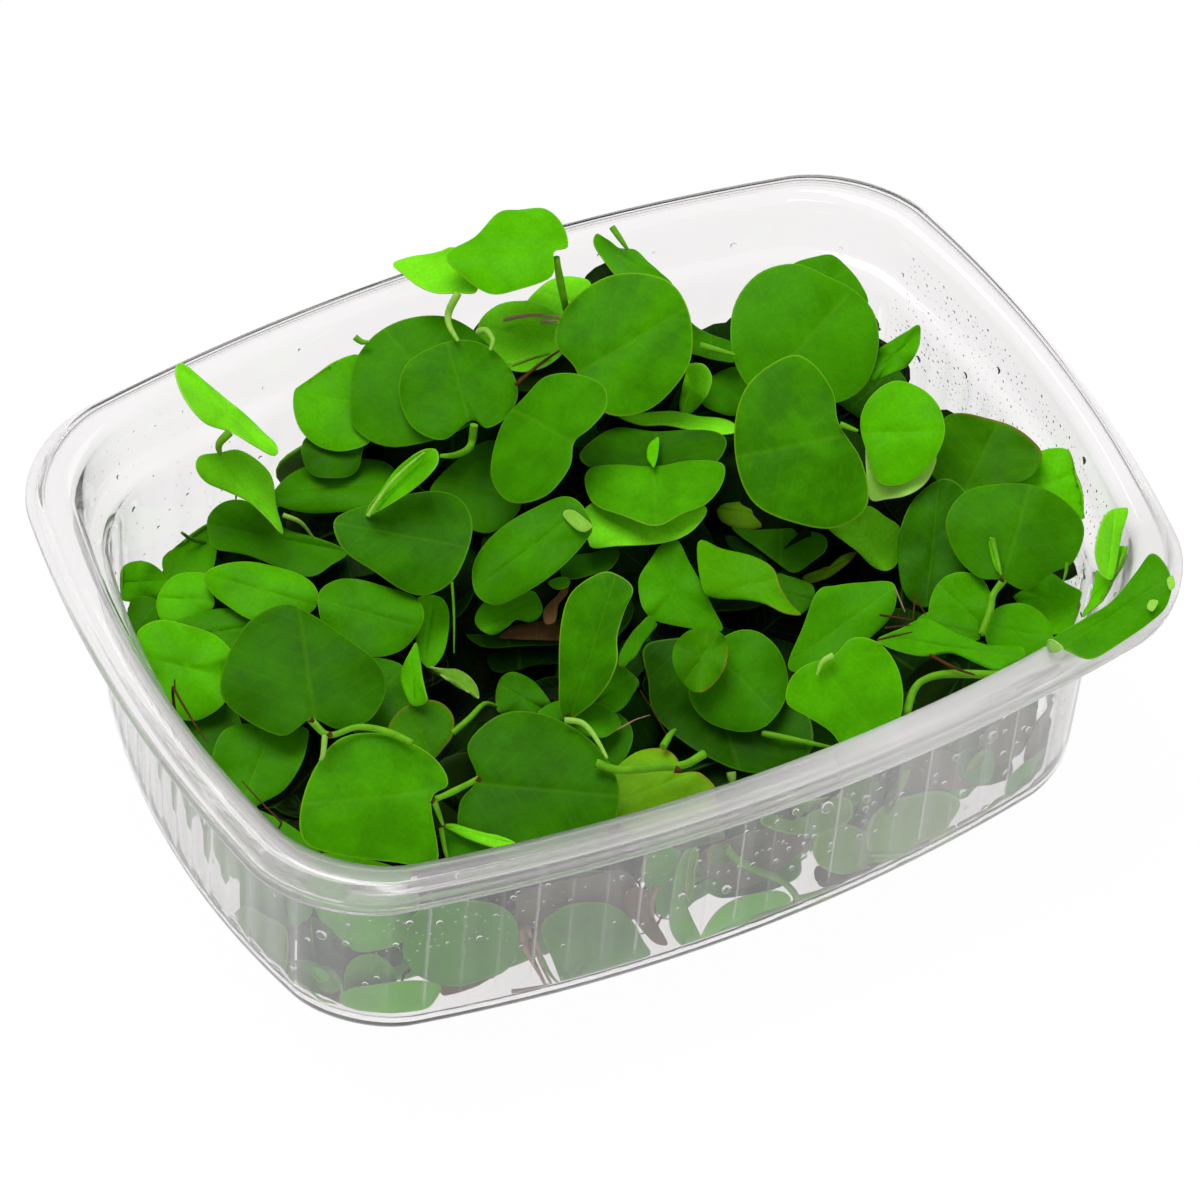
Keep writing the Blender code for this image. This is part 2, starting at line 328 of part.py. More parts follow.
    "leaf_corner_hanging": ((362, 858), (325, 853), (309, 864), (305, 885), (315, 910), (326, 932),
        (350, 947), (375, 948), (402, 938), (418, 914), (416, 890), (400, 870)),
    "leaf_front_bright": ((431, 801), (448, 784), (436, 760), (408, 742), (372, 733), (337, 741),
        (312, 774), (300, 815), (306, 843), (340, 855), (395, 862), (437, 864)),
    "t81": ((418, 706), (427, 701), (425, 690), (422, 675), (420, 658), (416, 643), (410, 652),
        (405, 662), (401, 674), (402, 684), (406, 695), (411, 704)),
    "q4": ((479, 698), (477, 687), (470, 677), (458, 670), (445, 669), (430, 667), (438, 673),
        (447, 680), (456, 686), (465, 691), (472, 694), (476, 697)),
    "q5": ((441, 828), (442, 845), (449, 862), (465, 861), (485, 857), (505, 852), (519, 848),
        (500, 846), (482, 842), (466, 836), (455, 831), (447, 827)),
    "t73": ((444, 826), (456, 833), (468, 839), (482, 844), (498, 848), (519, 848), (512, 841),
        (500, 836), (486, 833), (472, 830), (458, 826), (450, 824)),
    "leaf_over_rim": ((1050, 641), (1068, 651), (1091, 659), (1120, 643), (1148, 624), (1166, 607),
        (1172, 582), (1163, 561), (1151, 554), (1138, 570), (1112, 601), (1082, 620)),
    "leaf_olive_front": ((676, 773), (678, 760), (664, 749), (640, 751), (620, 764), (606, 785),
        (606, 812), (625, 832), (662, 836), (700, 818), (718, 795), (700, 773)),
}


def remove_scene_objects():
    for thing in list(bpy.data.objects):
        bpy.data.objects.remove(thing, do_unlink=True)


def add_material(name, colour, roughness, alpha=1.0):
    material = bpy.data.materials.new(name)
    material.use_nodes = True
    shader = material.node_tree.nodes["Principled BSDF"]
    shader.inputs["Base Color"].default_value = (*colour, 1.0)
    shader.inputs["Roughness"].default_value = roughness
    shader.inputs["Metallic"].default_value = 0.0
    shader.inputs["Alpha"].default_value = alpha
    return material


def add_solid(name, points, faces, material):
    mesh = bpy.data.meshes.new(name)
    mesh.from_pydata([tuple(p) for p in np.asarray(points) * MM], [], [tuple(f) for f in faces])
    mesh.materials.append(material)
    mesh.shade_smooth()
    solid = bpy.data.objects.new(name, mesh)
    bpy.context.scene.collection.objects.link(solid)
    return solid


def point_at(px, py, height):
    """The point at this height that shows at this pixel."""
    sight = -BACK * FOCAL_PX + RIGHT * (px - MIDDLE_PX) - UP * (py - MIDDLE_PX)
    return EYE + sight * (height - EYE[2]) / sight[2]


def seen_at(points):
    """Pixel columns, pixel rows and distances of points, as the viewer sees them."""
    offset = np.asarray(points) - EYE
    depth = -(offset @ BACK)
    columns = MIDDLE_PX + FOCAL_PX * (offset @ RIGHT) / depth
    rows = MIDDLE_PX - FOCAL_PX * (offset @ UP) / depth
    return columns, rows, depth


def outline_values(inset):
    """Half length, half width, corner radius and bows of the outline this far inside the rim."""
    part = inset / FLOOR_INSET
    return (HALF_LENGTH - inset, HALF_WIDTH - inset,
            RIM_CORNER + (FLOOR_CORNER - RIM_CORNER) * part,
            LONG_SIDE_BOW + (FLOOR_LONG_BOW - LONG_SIDE_BOW) * part,
            SHORT_SIDE_BOW + (FLOOR_SHORT_BOW - SHORT_SIDE_BOW) * part)


def outside_distance(x, y, inset):
    """Distance of a point from the outline, negative inside it."""
    length, width, corner, long_bow, short_bow = outline_values(inset)
    over_long = np.abs(y) - (width - long_bow * (x / length) ** 2) + corner
    over_short = np.abs(x) - (length - short_bow * (y / width) ** 2) + corner
    rounded = np.hypot(np.maximum(over_long, 0), np.maximum(over_short, 0))
    return rounded + np.minimum(np.maximum(over_long, over_short), 0) - corner


def outline_radii(angles, inset):
    """Distance from the centre to the outline along each angle, by halving."""
    low = np.zeros(len(angles))
    high = np.full(len(angles), 2 * HALF_LENGTH)
    for _ in range(40):
        middle = (low + high) / 2
        outside = outside_distance(middle * np.cos(angles), middle * np.sin(angles), inset) > 0
        high = np.where(outside, middle, high)
        low = np.where(outside, low, middle)
    return low


def outline_angles(count):
    """Angles round the rim that bunch where the outline turns."""
    dense = np.linspace(0, 2 * np.pi, 1441)
    radii = outline_radii(dense, 0.0)
    x, y = radii * np.cos(dense), radii * np.sin(dense)
    heading = np.unwrap(np.arctan2(np.diff(y), np.diff(x)))
    turn = np.abs(np.diff(heading, append=heading[0] + 2 * np.pi))
    weight = np.concatenate([[0], np.cumsum(np.hypot(np.diff(x), np.diff(y)) + TURN_WEIGHT * turn)])
    return np.interp(np.arange(count) / count * weight[-1], weight, dense)


def ring(angles, inset, height):
    radii = outline_radii(angles, inset)
    return np.stack([radii * np.cos(angles), radii * np.sin(angles), np.full(len(angles), height)], 1)


def lofted(rings, first_centre, last_centre):
    """Closed skin through rings of equal count, with a fan at each end."""
    count = len(rings[0])
    points = np.concatenate([[first_centre], *rings, [last_centre]])
    last = len(points) - 1
    faces = []
    for i in range(count):
        j = (i + 1) % count
        faces.append((0, 1 + j, 1 + i))
        for level in range(len(rings) - 1):
            low, high = 1 + level * count, 1 + (level + 1) * count
            faces.append((low + i, low + j, high + j))
            faces.append((low + i, high + j, high + i))
        end = 1 + (len(rings) - 1) * count
        faces.append((end + i, end + j, last))
    return points, faces


def inside_inset(height):
    """How far inside the rim's outline the plants' room ends, at each height."""
    heights = [z for _, z in reversed(PLANT_ROOM)]
    insets = [inset for inset, _ in reversed(PLANT_ROOM)]
    return np.interp(height, heights, insets)


def keep_inside(points):
    """Press points that would cut the wall back inside it."""
    points = points.copy()
    step = 0.05
    for _ in range(3):
        x, y, z = points.T
        inset = inside_inset(z) + WALL_GAP
        over = outside_distance(x, y, inset)
        slope_x = (outside_distance(x + step, y, inset) - over) / step
        slope_y = (outside_distance(x, y + step, inset) - over) / step
        steepness = np.hypot(slope_x, slope_y) + 1e-9
        push = np.where((z < RIM_CLEAR_HEIGHT) & (over > 0), over, 0)
        points[:, 0] -= push * slope_x / steepness
        points[:, 1] -= push * slope_y / steepness
    return points


def bent(part, half, angle):
    """Run along and rise of a strip that is rolled by this angle from its middle to its edge."""
    turn = np.radians(angle)
    if abs(turn) < 1e-3:
        return part * half, part * 0
    return half / turn * np.sin(turn * part), half / turn * (1 - np.cos(turn * part))


def traced_surface(outline, centre, side, rib, face, side_curl, end_curl):
    """Surface of a leaf whose outline is known: each point stays where it shows."""
    middle = np.mean(outline, axis=0)
    spots = [middle]
    for part in LEAF_RINGS:
        spots.extend(middle + part * (np.array(outline) - middle))
    sights = [RIGHT * (px - MIDDLE_PX) - UP * (py - MIDDLE_PX) - BACK * FOCAL_PX for px, py in spots]
    sights = np.array(sights)
    points = EYE + sights * ((centre - EYE) @ face / (sights @ face))[:, None]
    x, y = (points - points[0]) @ side, (points - points[0]) @ rib
    half_width, half_length = np.abs(x).max(), np.abs(y).max()
    side_rise = bent(x / half_width, half_width, side_curl)[1]
    end_rise = bent(y / half_length, half_length, end_curl)[1]
    rise = side_rise + end_rise
    towards = -sights / np.linalg.norm(sights, axis=1)[:, None]
    return points + towards * ((rise - rise.mean()) / np.maximum(towards @ face, MIN_FACING))[:, None]


def leaf_surface(name, stalk_px, tip_px, width, slant, lean, height, side_curl, end_curl, lobe, point):
    """Middle surface of a leaf: its centre first, then its rings."""
    centre_px = np.mean(OUTLINES.get(name, (stalk_px, tip_px)), axis=0)
    centre = point_at(*centre_px, height)
    scale = -((centre - EYE) @ BACK) / FOCAL_PX
    slant, lean = np.radians(slant), np.radians(lean)
    face = np.array([np.sin(slant) * np.cos(lean), np.sin(slant) * np.sin(lean), np.cos(slant)])
    across, along = (tip_px[0] - stalk_px[0]) * scale, (stalk_px[1] - tip_px[1]) * scale
    rib = np.array([across, along, -(across * face[0] + along * face[1]) / face[2]])
    length = np.linalg.norm(rib)
    axes = np.stack([RIGHT, UP, BACK])
    face, rib = face @ axes, rib / length @ axes
    side = np.cross(rib, face)
    if name in OUTLINES:
        return traced_surface(OUTLINES[name], centre, side, rib, face, side_curl, end_curl)
    turn = np.radians(np.array(LEAF_ANGLES, float))
    off_stalk = np.pi - np.abs(turn)
    lobes = (1 - np.exp(-(off_stalk / NOTCH_TURN) ** 2)) * np.maximum(-np.cos(turn), 0) ** 1.2
    taper = 1 - point * np.maximum(np.cos(turn), 0) ** 1.5
    u = np.concatenate([[0.0]] + [s * np.sin(turn) * taper for s in LEAF_RINGS])
    v = np.concatenate([[0.0]] + [s * (np.cos(turn) - 2 * lobe * lobes) for s in LEAF_RINGS])
    x, side_rise = bent(u, width / 2, side_curl)
    y, end_rise = bent(v, length / 2, end_curl)
    rise = side_rise + end_rise
    return centre + np.outer(x, side) + np.outer(y, rib) + np.outer(rise - rise.mean(), face)


def leaf_solid(surface):
    """Closed solid of a leaf's middle surface: its upper points, then its lower ones."""
    count = len(LEAF_ANGLES)
    upper = [(0, 1 + i, 1 + (i + 1) % count) for i in range(count)]
    for i in range(count):
        j = (i + 1) % count
        upper.append((1 + i, 1 + count + i, 1 + count + j))
        upper.append((1 + i, 1 + count + j, 1 + j))
    corners = surface[np.array(upper)]
    facing = np.cross(corners[:, 1] - corners[:, 0], corners[:, 2] - corners[:, 0])
    normals = np.zeros_like(surface)
    for corner in range(3):
        np.add.at(normals, np.array(upper)[:, corner], facing)
    normals *= LEAF_THICKNESS / 2 / np.linalg.norm(normals, axis=1)[:, None]
    points = np.concatenate([surface + normals, surface - normals])
    under = len(surface)
    faces = upper + [(c + under, b + under, a + under) for a, b, c in upper]
    rim = 1 + count
    for i in range(count):
        a, b = rim + i, rim + (i + 1) % count
        faces.append((a, a + under, b + under))
        faces.append((a, b + under, b))
    return points, faces


def smooth_route(route):
    """Points along a curve through the route's points."""
    route = np.array(route)
    knots = np.arange(len(route))
    steps = np.linspace(0, len(route) - 1, STEM_STEPS_PER_SPAN * (len(route) - 1) + 1)
    padded = np.vstack([2 * route[0] - route[1], route, 2 * route[-1] - route[-2]])
    points = []
    for step in steps:
        k = min(int(step), len(knots) - 2)
        t = step - k
        a, b, c, d = padded[k:k + 4]
        points.append(0.5 * (2 * b + (c - a) * t + (2 * a - 5 * b + 4 * c - d) * t ** 2
                             + (3 * b - a - 3 * c + d) * t ** 3))
    return np.array(points)


def stem_solid(route_px, radius):
    """Round tube along a stem's route."""
    path = smooth_route([point_at(*spot) for spot in route_px])
    turn = 2 * np.pi * np.arange(STEM_SIDES) / STEM_SIDES
    rings = []
    for i, spot in enumerate(path):
        run = path[min(i + 1, len(path) - 1)] - path[max(i - 1, 0)]
        run /= np.linalg.norm(run)
        side = np.cross(run, BACK)
        side /= np.linalg.norm(side)
        rings.append(spot + radius * (np.outer(np.cos(turn), side)
                                      + np.outer(np.sin(turn), np.cross(run, side))))
    return lofted(rings, path[0], path[-1])


class Heap:
    """Nearest surface laid so far in each cell of the picture."""

    def __init__(self):
        self.nearest = np.full((GRID_CELLS, GRID_CELLS), np.inf)

    @staticmethod
    def samples(points, faces):
        steps = 7
        mix = np.array([(i, j, steps - i - j) for i in range(steps + 1) for j in range(steps + 1 - i)])
        spots = np.einsum("bk,fkd->fbd", mix / steps, points[np.array(faces)]).reshape(-1, 3)
        columns, rows, depth = seen_at(spots)
        return (rows / CELL_PX).astype(int), (columns / CELL_PX).astype(int), depth

    def lay(self, points, faces):
        """Raise a solid towards the viewer until it is clear, and add it."""
        rows, columns, depth = self.samples(points, faces)
        framed = np.pad(self.nearest, 1, constant_values=np.inf)
        shifted = [framed[i:i + GRID_CELLS, j:j + GRID_CELLS] for i in range(3) for j in range(3)]
        around = np.min(shifted, axis=0)
        lift = max(0.0, float(np.max(depth + LAYER_GAP - around[rows, columns])))
        middle = points.mean(axis=0)
        points = points + (EYE - middle) / np.linalg.norm(EYE - middle) * lift
        rows, columns, depth = self.samples(points, faces)
        np.minimum.at(self.nearest, (rows, columns), depth)
        return points, lift


def make_tub():
    angles = outline_angles(OUTLINE_POINTS)
    section = TUB_UNDERSIDE + TUB_RIM_TOP + TUB_INSIDE
    rings = [ring(angles, inset, height) for inset, height in section]
    points, faces = lofted(rings, (0, 0, section[0][1]), (0, 0, section[-1][1]))
    add_solid("tub", points, faces, add_material("clear_plastic", PLASTIC, 0.1, alpha=0.35))


def make_plants():
    """Leaves and stems from the lowest to the highest, and what the bed has to stay under."""
    leaf_materials = {name: add_material(f"leaf_{name}", colour, 0.35) for name, colour in GREENS.items()}
    stem_material = add_material("stem_green", STEM_GREEN, 0.4)
    heap = Heap()
    low_points = []
    for name, *values in LAYERS:
        if len(values) == 3:
            route, radius, own_node = values
            points, faces = stem_solid(route, radius)
            material = stem_material
        else:
            *shape, colour, own_node = values
            surface = leaf_surface(name, *shape)
            pressed = keep_inside(surface)
            if np.abs(pressed - surface).max() > 1:
                print(f"{name:20s} pressed in by {np.abs(pressed - surface).max():4.1f}")
            points, faces = leaf_solid(pressed)
            material = leaf_materials[colour]
        points, lift = heap.lay(points, faces)
        if own_node:
            add_solid(name, points, faces, material)
            low_points.append(points[np.array(faces)].reshape(-1, 3))
            low_points.append(points[np.array(faces)].mean(axis=1))
        print(f"{name:20s} raised {lift:4.1f} from {points[:, 2].min():5.1f} to {points[:, 2].max():5.1f}")
    return np.concatenate(low_points)


def make_bed(low_points):
    """Mass of buried plants, kept under every leaf and stem above it."""
    angles = 2 * np.pi * np.arange(BED_SPOKES) / BED_SPOKES

    def top_height(x, y):
        near = np.hypot(low_points[:, 0] - x, low_points[:, 1] - y) < BED_REACH
        if near.any():
            return min(BED_TOP, low_points[near, 2].min() - BED_LEAF_GAP)
        return BED_HEIGHT + BED_RISE_TO_BACK * y / HALF_WIDTH

    def side(height):
        return ring(angles, float(inside_inset(height)) + BED_WALL_GAP, height)

    edge = side(BED_HEIGHT)
    rings = [side(height) for height in BED_SIDE_HEIGHTS]
    for step in range(BED_RINGS, 0, -1):
        level = edge * (step / BED_RINGS)
        level[:, 2] = [top_height(x, y) for x, y, _ in level]
        rings.append(level)
    points, faces = lofted(rings, (0, 0, BED_FLOOR), (0, 0, top_height(0, 0)))
    add_solid("plant_bed", points, faces, add_material("buried_plants", BED_GREEN, 0.6))


remove_scene_objects()
make_tub()
make_bed(make_plants())
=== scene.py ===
import math

import bmesh
import bpy
import numpy as np
from mathutils import Matrix, Vector
from mathutils.bvhtree import BVHTree


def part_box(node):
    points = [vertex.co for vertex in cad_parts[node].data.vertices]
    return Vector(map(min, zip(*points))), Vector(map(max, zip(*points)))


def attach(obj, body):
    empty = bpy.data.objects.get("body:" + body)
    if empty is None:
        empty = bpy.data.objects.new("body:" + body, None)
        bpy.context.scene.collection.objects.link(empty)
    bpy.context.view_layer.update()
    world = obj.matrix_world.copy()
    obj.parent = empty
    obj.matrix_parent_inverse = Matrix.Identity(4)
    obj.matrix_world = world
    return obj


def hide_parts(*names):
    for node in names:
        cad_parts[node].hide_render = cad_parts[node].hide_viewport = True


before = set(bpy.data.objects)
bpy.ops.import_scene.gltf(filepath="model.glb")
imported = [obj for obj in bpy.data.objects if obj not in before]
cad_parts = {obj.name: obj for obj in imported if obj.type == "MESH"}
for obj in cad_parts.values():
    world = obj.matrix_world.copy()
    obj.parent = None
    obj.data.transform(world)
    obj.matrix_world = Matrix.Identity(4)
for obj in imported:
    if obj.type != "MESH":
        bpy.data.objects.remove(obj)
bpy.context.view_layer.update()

# Everything is worked out in millimetres and set down in metres.
mm = 0.001
scene = bpy.context.scene


def linearColour(hexValue, alpha=1.0):
    channels = [int(hexValue[i:i + 2], 16) / 255 for i in (1, 3, 5)]
    return (*[c / 12.92 if c <= 0.04045 else ((c + 0.055) / 1.055) ** 2.4 for c in channels], alpha)


def setInputs(node, inputs):
    # values or links for a node's inputs: a node stands for its first live output, hex text for a colour
    for key, value in inputs.items():
        if isinstance(value, bpy.types.Node):
            value = next(output for output in value.outputs if output.enabled)
        if isinstance(value, bpy.types.NodeSocket):
            node.id_data.links.new(value, node.inputs[key])
        else:
            isColour = isinstance(value, str) and value.startswith("#")
            node.inputs[key].default_value = linearColour(value) if isColour else value


def addNode(tree, kind, inputs=None, **settings):
    node = tree.nodes.new(kind)
    for key, value in settings.items():
        setattr(node, key, value)
    setInputs(node, inputs or {})
    return node


def newMaterial(name):
    material = bpy.data.materials.new(name)
    material.use_nodes = True
    return material, material.node_tree, material.node_tree.nodes["Principled BSDF"]


def handOver(piece, solid=None):
    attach(piece, "root")
    if solid:
        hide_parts(solid)


def addPiece(name, points, faces, material, edges=(), smooth=True):
    mesh = bpy.data.meshes.new(name)
    mesh.from_pydata((np.asarray(points, float) * mm).tolist(), [tuple(e) for e in edges],
                     [tuple(int(i) for i in f) for f in faces])
    if material:
        mesh.materials.append(material)
    if smooth and len(faces):
        mesh.shade_smooth()
    piece = bpy.data.objects.new(name, mesh)
    scene.collection.objects.link(piece)
    return piece


def storeValues(piece, valuesByName):
    for name, values in valuesByName.items():
        layer = piece.data.attributes.new(name, "FLOAT", "POINT")
        layer.data.foreach_set("value", np.asarray(values, float))


def storeUv(piece, uv):
    layer = piece.data.uv_layers.new(name="leafUv")
    corners = np.empty(len(piece.data.loops), int)
    piece.data.loops.foreach_get("vertex_index", corners)
    layer.data.foreach_set("uv", np.asarray(uv, float)[corners].ravel())


def newGeometryTree(name, inputs):
    # inputs: the socket kinds, each with the names of its inputs
    tree = bpy.data.node_groups.new(name, "GeometryNodeTree")
    tree.interface.new_socket("Geometry", in_out="OUTPUT", socket_type="NodeSocketGeometry")
    for kind, labels in {"Geometry": "Geometry", **inputs, "Material": "Skin"}.items():
        for label in labels.split():
            tree.interface.new_socket(label, in_out="INPUT", socket_type="NodeSocket" + kind)
    return tree, tree.nodes.new("NodeGroupInput").outputs


def finishTree(tree, geometry, skin):
    # makes the instances real, smooth and skinned
    real = addNode(tree, "GeometryNodeRealizeInstances", {"Geometry": geometry})
    smooth = addNode(tree, "GeometryNodeSetShadeSmooth", {"Geometry": real, "Shade Smooth": True})
    skinned = addNode(tree, "GeometryNodeSetMaterial", {"Geometry": smooth, "Material": skin})
    setInputs(tree.nodes.new("NodeGroupOutput"), {"Geometry": skinned})
    return tree


def grow(seedPiece, tree, values, name):
    # runs the tree on the seed piece and keeps the result as a plain mesh
    modifier = seedPiece.modifiers.new("grow", "NODES")
    modifier.node_group = tree
    for item in tree.interface.items_tree:
        if item.in_out == "INPUT" and item.name in values:
            modifier[item.identifier] = values[item.name]
    graph = bpy.context.evaluated_depsgraph_get()
    mesh = bpy.data.meshes.new_from_object(seedPiece.evaluated_get(graph), depsgraph=graph)
    seedPiece.modifiers.remove(modifier)
    bpy.data.objects.remove(seedPiece)
    mesh.name = name
    piece = bpy.data.objects.new(name, mesh)
    scene.collection.objects.link(piece)
    return piece


def meshPoints(piece):
    points = np.empty(len(piece.data.vertices) * 3)
    piece.data.vertices.foreach_get("co", points)
    return points.reshape(-1, 3) / mm


def setPoints(piece, points):
    piece.data.vertices.foreach_set("co", (np.asarray(points) * mm).ravel())
    piece.data.update()


# where the picture was taken from; positions below are given in its pixels, 1200 on a side
viewer = {"eye": (-244.54, -402.10, 530.88), "right": (0.88373, -0.46448, 0.05729),
          "up": (0.30948, 0.67182, 0.67296), "back": (-0.35107, -0.57698, 0.73746),
          "focalPx": 6877.0, "middlePx": 600.0}
eye, rightAxis, upAxis, backAxis = (np.array(viewer[k]) for k in ("eye", "right", "up", "back"))

cameraData = bpy.data.cameras.new("viewCamera")
cameraData.sensor_width = 36.0
cameraData.lens = 36.0 * viewer["focalPx"] / 1200
cameraData.clip_start = 0.01
camera = bpy.data.objects.new("viewCamera", cameraData)
camera.matrix_world = Matrix.Translation(Vector(eye * mm)) @ Matrix(
    np.stack([rightAxis, upAxis, backAxis], 1).tolist()).to_4x4()
scene.collection.objects.link(camera)
scene.camera = camera

light = {"skyHex": "#F4F4F4", "skyStrength": 0.42, "floorHex": "#3A3A3A", "floorGlow": 0.97,
         "softboxes": {"topSoftbox": (3.8, 0.5, (-0.10, 0.22, 0.75)),  # watts, size and place in metres
                       "sideSoftbox": (0.7, 0.5, (0.62, 0.10, 0.42)),
                       "frontSoftbox": (1.8, 0.6, (-0.30, -0.75, 0.12))}}
world = bpy.data.worlds.new("studioSky")
world.use_nodes = True
scene.world = world
setInputs(world.node_tree.nodes["Background"], {"Color": light["skyHex"], "Strength": light["skyStrength"]})
for name, (watts, size, spot) in light["softboxes"].items():
    lampData = bpy.data.lights.new(name, "AREA")
    lampData.energy = watts
    lampData.size = size
    lamp = bpy.data.objects.new(name, lampData)
    lamp.location = spot
    lamp.rotation_euler = (-Vector(spot)).to_track_quat("-Z", "Y").to_euler()
    scene.collection.objects.link(lamp)
scene.view_settings.view_transform = "Standard"

# opal acrylic lit from below, even and without shadows
lightbox, _, lightboxShader = newMaterial("litOpalAcrylicSheet")
setInputs(lightboxShader, {"Base Color": light["floorHex"], "Roughness": 0.9, "Specular IOR Level": 0.0,
                           "Emission Color": "#FFFFFF", "Emission Strength": light["floorGlow"]})
far, justBelow = 4000, -0.05
floor = addPiece("floor", [(x, y, justBelow) for x, y in ((-far, -far), (far, -far), (far, far), (-far, far))],
                 [(0, 1, 2, 3)], lightbox)
print("camera, light and floor are set")


# share of light that the clear sheet scatters, and what the mist inside its near walls and its rim adds to
# that, at places along X; the pale upright lines, a painted highlight for the light the ribs catch, by pitch, where
# in the wave they start and are full, and share
plastic = {"haze": 0.012,
           "firstLine": 9.4,
           "lines": (("boldRibHighlights", 10.98, 0.9965, 0.9998, 0.2), ("fineRibHighlights", 3.66, 0.93, 0.999, 0.06)),
           "wallMist": ((-53, 0.18), (-46, 0.19), (-41, 0.10), (-36, 0.02), (-30, 0.04), (-18, 0.08), (-8, 0.075),
                        (3, 0.04), (12, 0.11), (22, 0.18), (32, 0.12), (42, 0.19)),
           "rimMist": ((-53, 0.11), (-36, 0.08), (-20, 0.07), (-5, 0.13), (5, 0.25), (12, 0.36), (28, 0.30),
                       (36, 0.40))}

# the tub's outline and section, shared by all that has to stay inside it
tub = {"halfLength": 54.0, "halfWidth": 40.1, "rimCorner": 8.55, "longBow": 6.9, "shortBow": 5.7,
       "floorInset": 7.2, "floorCorner": 6.25, "floorLongBow": 6.45, "floorShortBow": 7.05,
       "outlinePoints": 560, "ribDepth": 0.2, "ribPitchLong": 3.66, "ribPitchShort": 3.45,
       "ribLow": 3.0, "ribHigh": 21.8,
       # from the middle of the underside round the rim to the floor's top: (inset, height)
       "underside": ((24.0, 0.0), (12.0, 0.0), (8.0, 0.0), (7.4, 0.08), (7.05, 0.22), (6.75, 0.55), (6.6, 1.1),
                     (6.5, 3.0), (6.48, 4.2), (6.4, 8.0), (6.32, 12.0), (6.24, 16.0), (6.16, 20.0),
                     (6.13, 21.2), (6.1, 22.2), (5.95, 22.7), (5.5, 23.1), (5.0, 23.35), (4.7, 23.7),
                     (4.55, 24.3), (4.2, 26.2), (3.8, 28.3), (3.65, 28.9), (3.3, 29.35), (2.9, 29.5),
                     (2.0, 29.5), (1.6, 29.4), (1.4, 29.0), (1.1, 28.1), (0.95, 27.75), (0.6, 27.5),
                     (0.1, 27.5), (0.0, 27.6)),
       "rimTop": ((0.0, 28.2), (0.1, 28.35), (0.6, 28.45), (0.75, 28.6), (0.95, 29.3), (1.1, 29.7),
                  (1.45, 29.95), (1.9, 30.0), (3.0, 30.0), (3.4, 29.9)),
       "inside": ((3.7, 29.6), (3.95, 29.1), (4.3, 28.3), (4.7, 26.2), (5.05, 24.4), (5.2, 24.0), (5.5, 23.7),
                  (6.2, 23.3), (6.5, 22.9), (6.6, 22.3), (6.62, 21.2), (6.66, 20.0), (6.74, 16.0), (6.82, 12.0),
                  (6.9, 8.0), (6.98, 4.2), (7.0, 3.2), (7.08, 2.2), (7.25, 1.3), (7.6, 0.8), (8.2, 0.58),
                  (9.6, 0.5), (24.0, 0.5))}


def outsideDistance(x, y, inset):
    # how far these places are outside the tub's outline, drawn in by this inset
    part = inset / tub["floorInset"]
    length, width = tub["halfLength"] - inset, tub["halfWidth"] - inset
    corner = tub["rimCorner"] + (tub["floorCorner"] - tub["rimCorner"]) * part
    longBow = tub["longBow"] + (tub["floorLongBow"] - tub["longBow"]) * part
    shortBow = tub["shortBow"] + (tub["floorShortBow"] - tub["shortBow"]) * part
    overLong = np.abs(y) - (width - longBow * (x / length) ** 2) + corner
    overShort = np.abs(x) - (length - shortBow * (y / width) ** 2) + corner
    rounded = np.hypot(np.maximum(overLong, 0), np.maximum(overShort, 0))
    return rounded + np.minimum(np.maximum(overLong, overShort), 0) - corner


def outlineRadii(angles, inset):
    # distance from the middle to the outline, found by halving
    low, high = np.zeros(len(angles)), np.full(len(angles), 2 * tub["halfLength"])
    for _ in range(40):
        middle = (low + high) / 2
        outside = outsideDistance(middle * np.cos(angles), middle * np.sin(angles), inset) > 0
        high, low = np.where(outside, middle, high), np.where(outside, low, middle)
    return low


def outlineAngles(count):
    # angles round the outline, closer together where it turns
    dense = np.linspace(0, 2 * np.pi, 2881)
    radii = outlineRadii(dense, 0.0)
    x, y = radii * np.cos(dense), radii * np.sin(dense)
    heading = np.unwrap(np.arctan2(np.diff(y), np.diff(x)))
    turn = np.abs(np.diff(heading, append=heading[0] + 2 * np.pi))
    weight = np.concatenate([[0], np.cumsum(np.hypot(np.diff(x), np.diff(y)) + 9.0 * turn)])
    return np.interp(np.arange(count) / count * weight[-1], weight, dense)


def insideInset(height):
    # the room the plants keep within, as a plain table: how far inside the rim at each height
    heights = (0.5, 0.65, 1.4, 3.2, 22.6, 24.1, 28.5, 29.6)
    return np.interp(height, heights, (10.2, 9.0, 7.9, 7.4, 6.6, 5.1, 4.25, 3.75))


def fineInset(height):
    # the same for the tub's inner face itself
    heights = [z for _, z in reversed(tub["inside"])]
    insets = [i for i, _ in reversed(tub["inside"])]
    return np.interp(height, heights, insets)


def keepInside(points, gap=0.75, clearHeight=30.7, room=insideInset):
    # moves what is past the inner wall straight back inside, up to the height that clears the rim
    points = points.copy()
    step = 0.05
    for _ in range(3):
        x, y, z = points.T
        inset = room(z) + gap
        over = outsideDistance(x, y, inset)
        slopeX = (outsideDistance(x + step, y, inset) - over) / step
        slopeY = (outsideDistance(x, y + step, inset) - over) / step
        steepness = np.hypot(slopeX, slopeY) + 1e-9
        push = np.where((z < clearHeight) & (over > 0), over, 0)
        points[:, 0] -= push * slopeX / steepness
        points[:, 1] -= push * slopeY / steepness
    return points


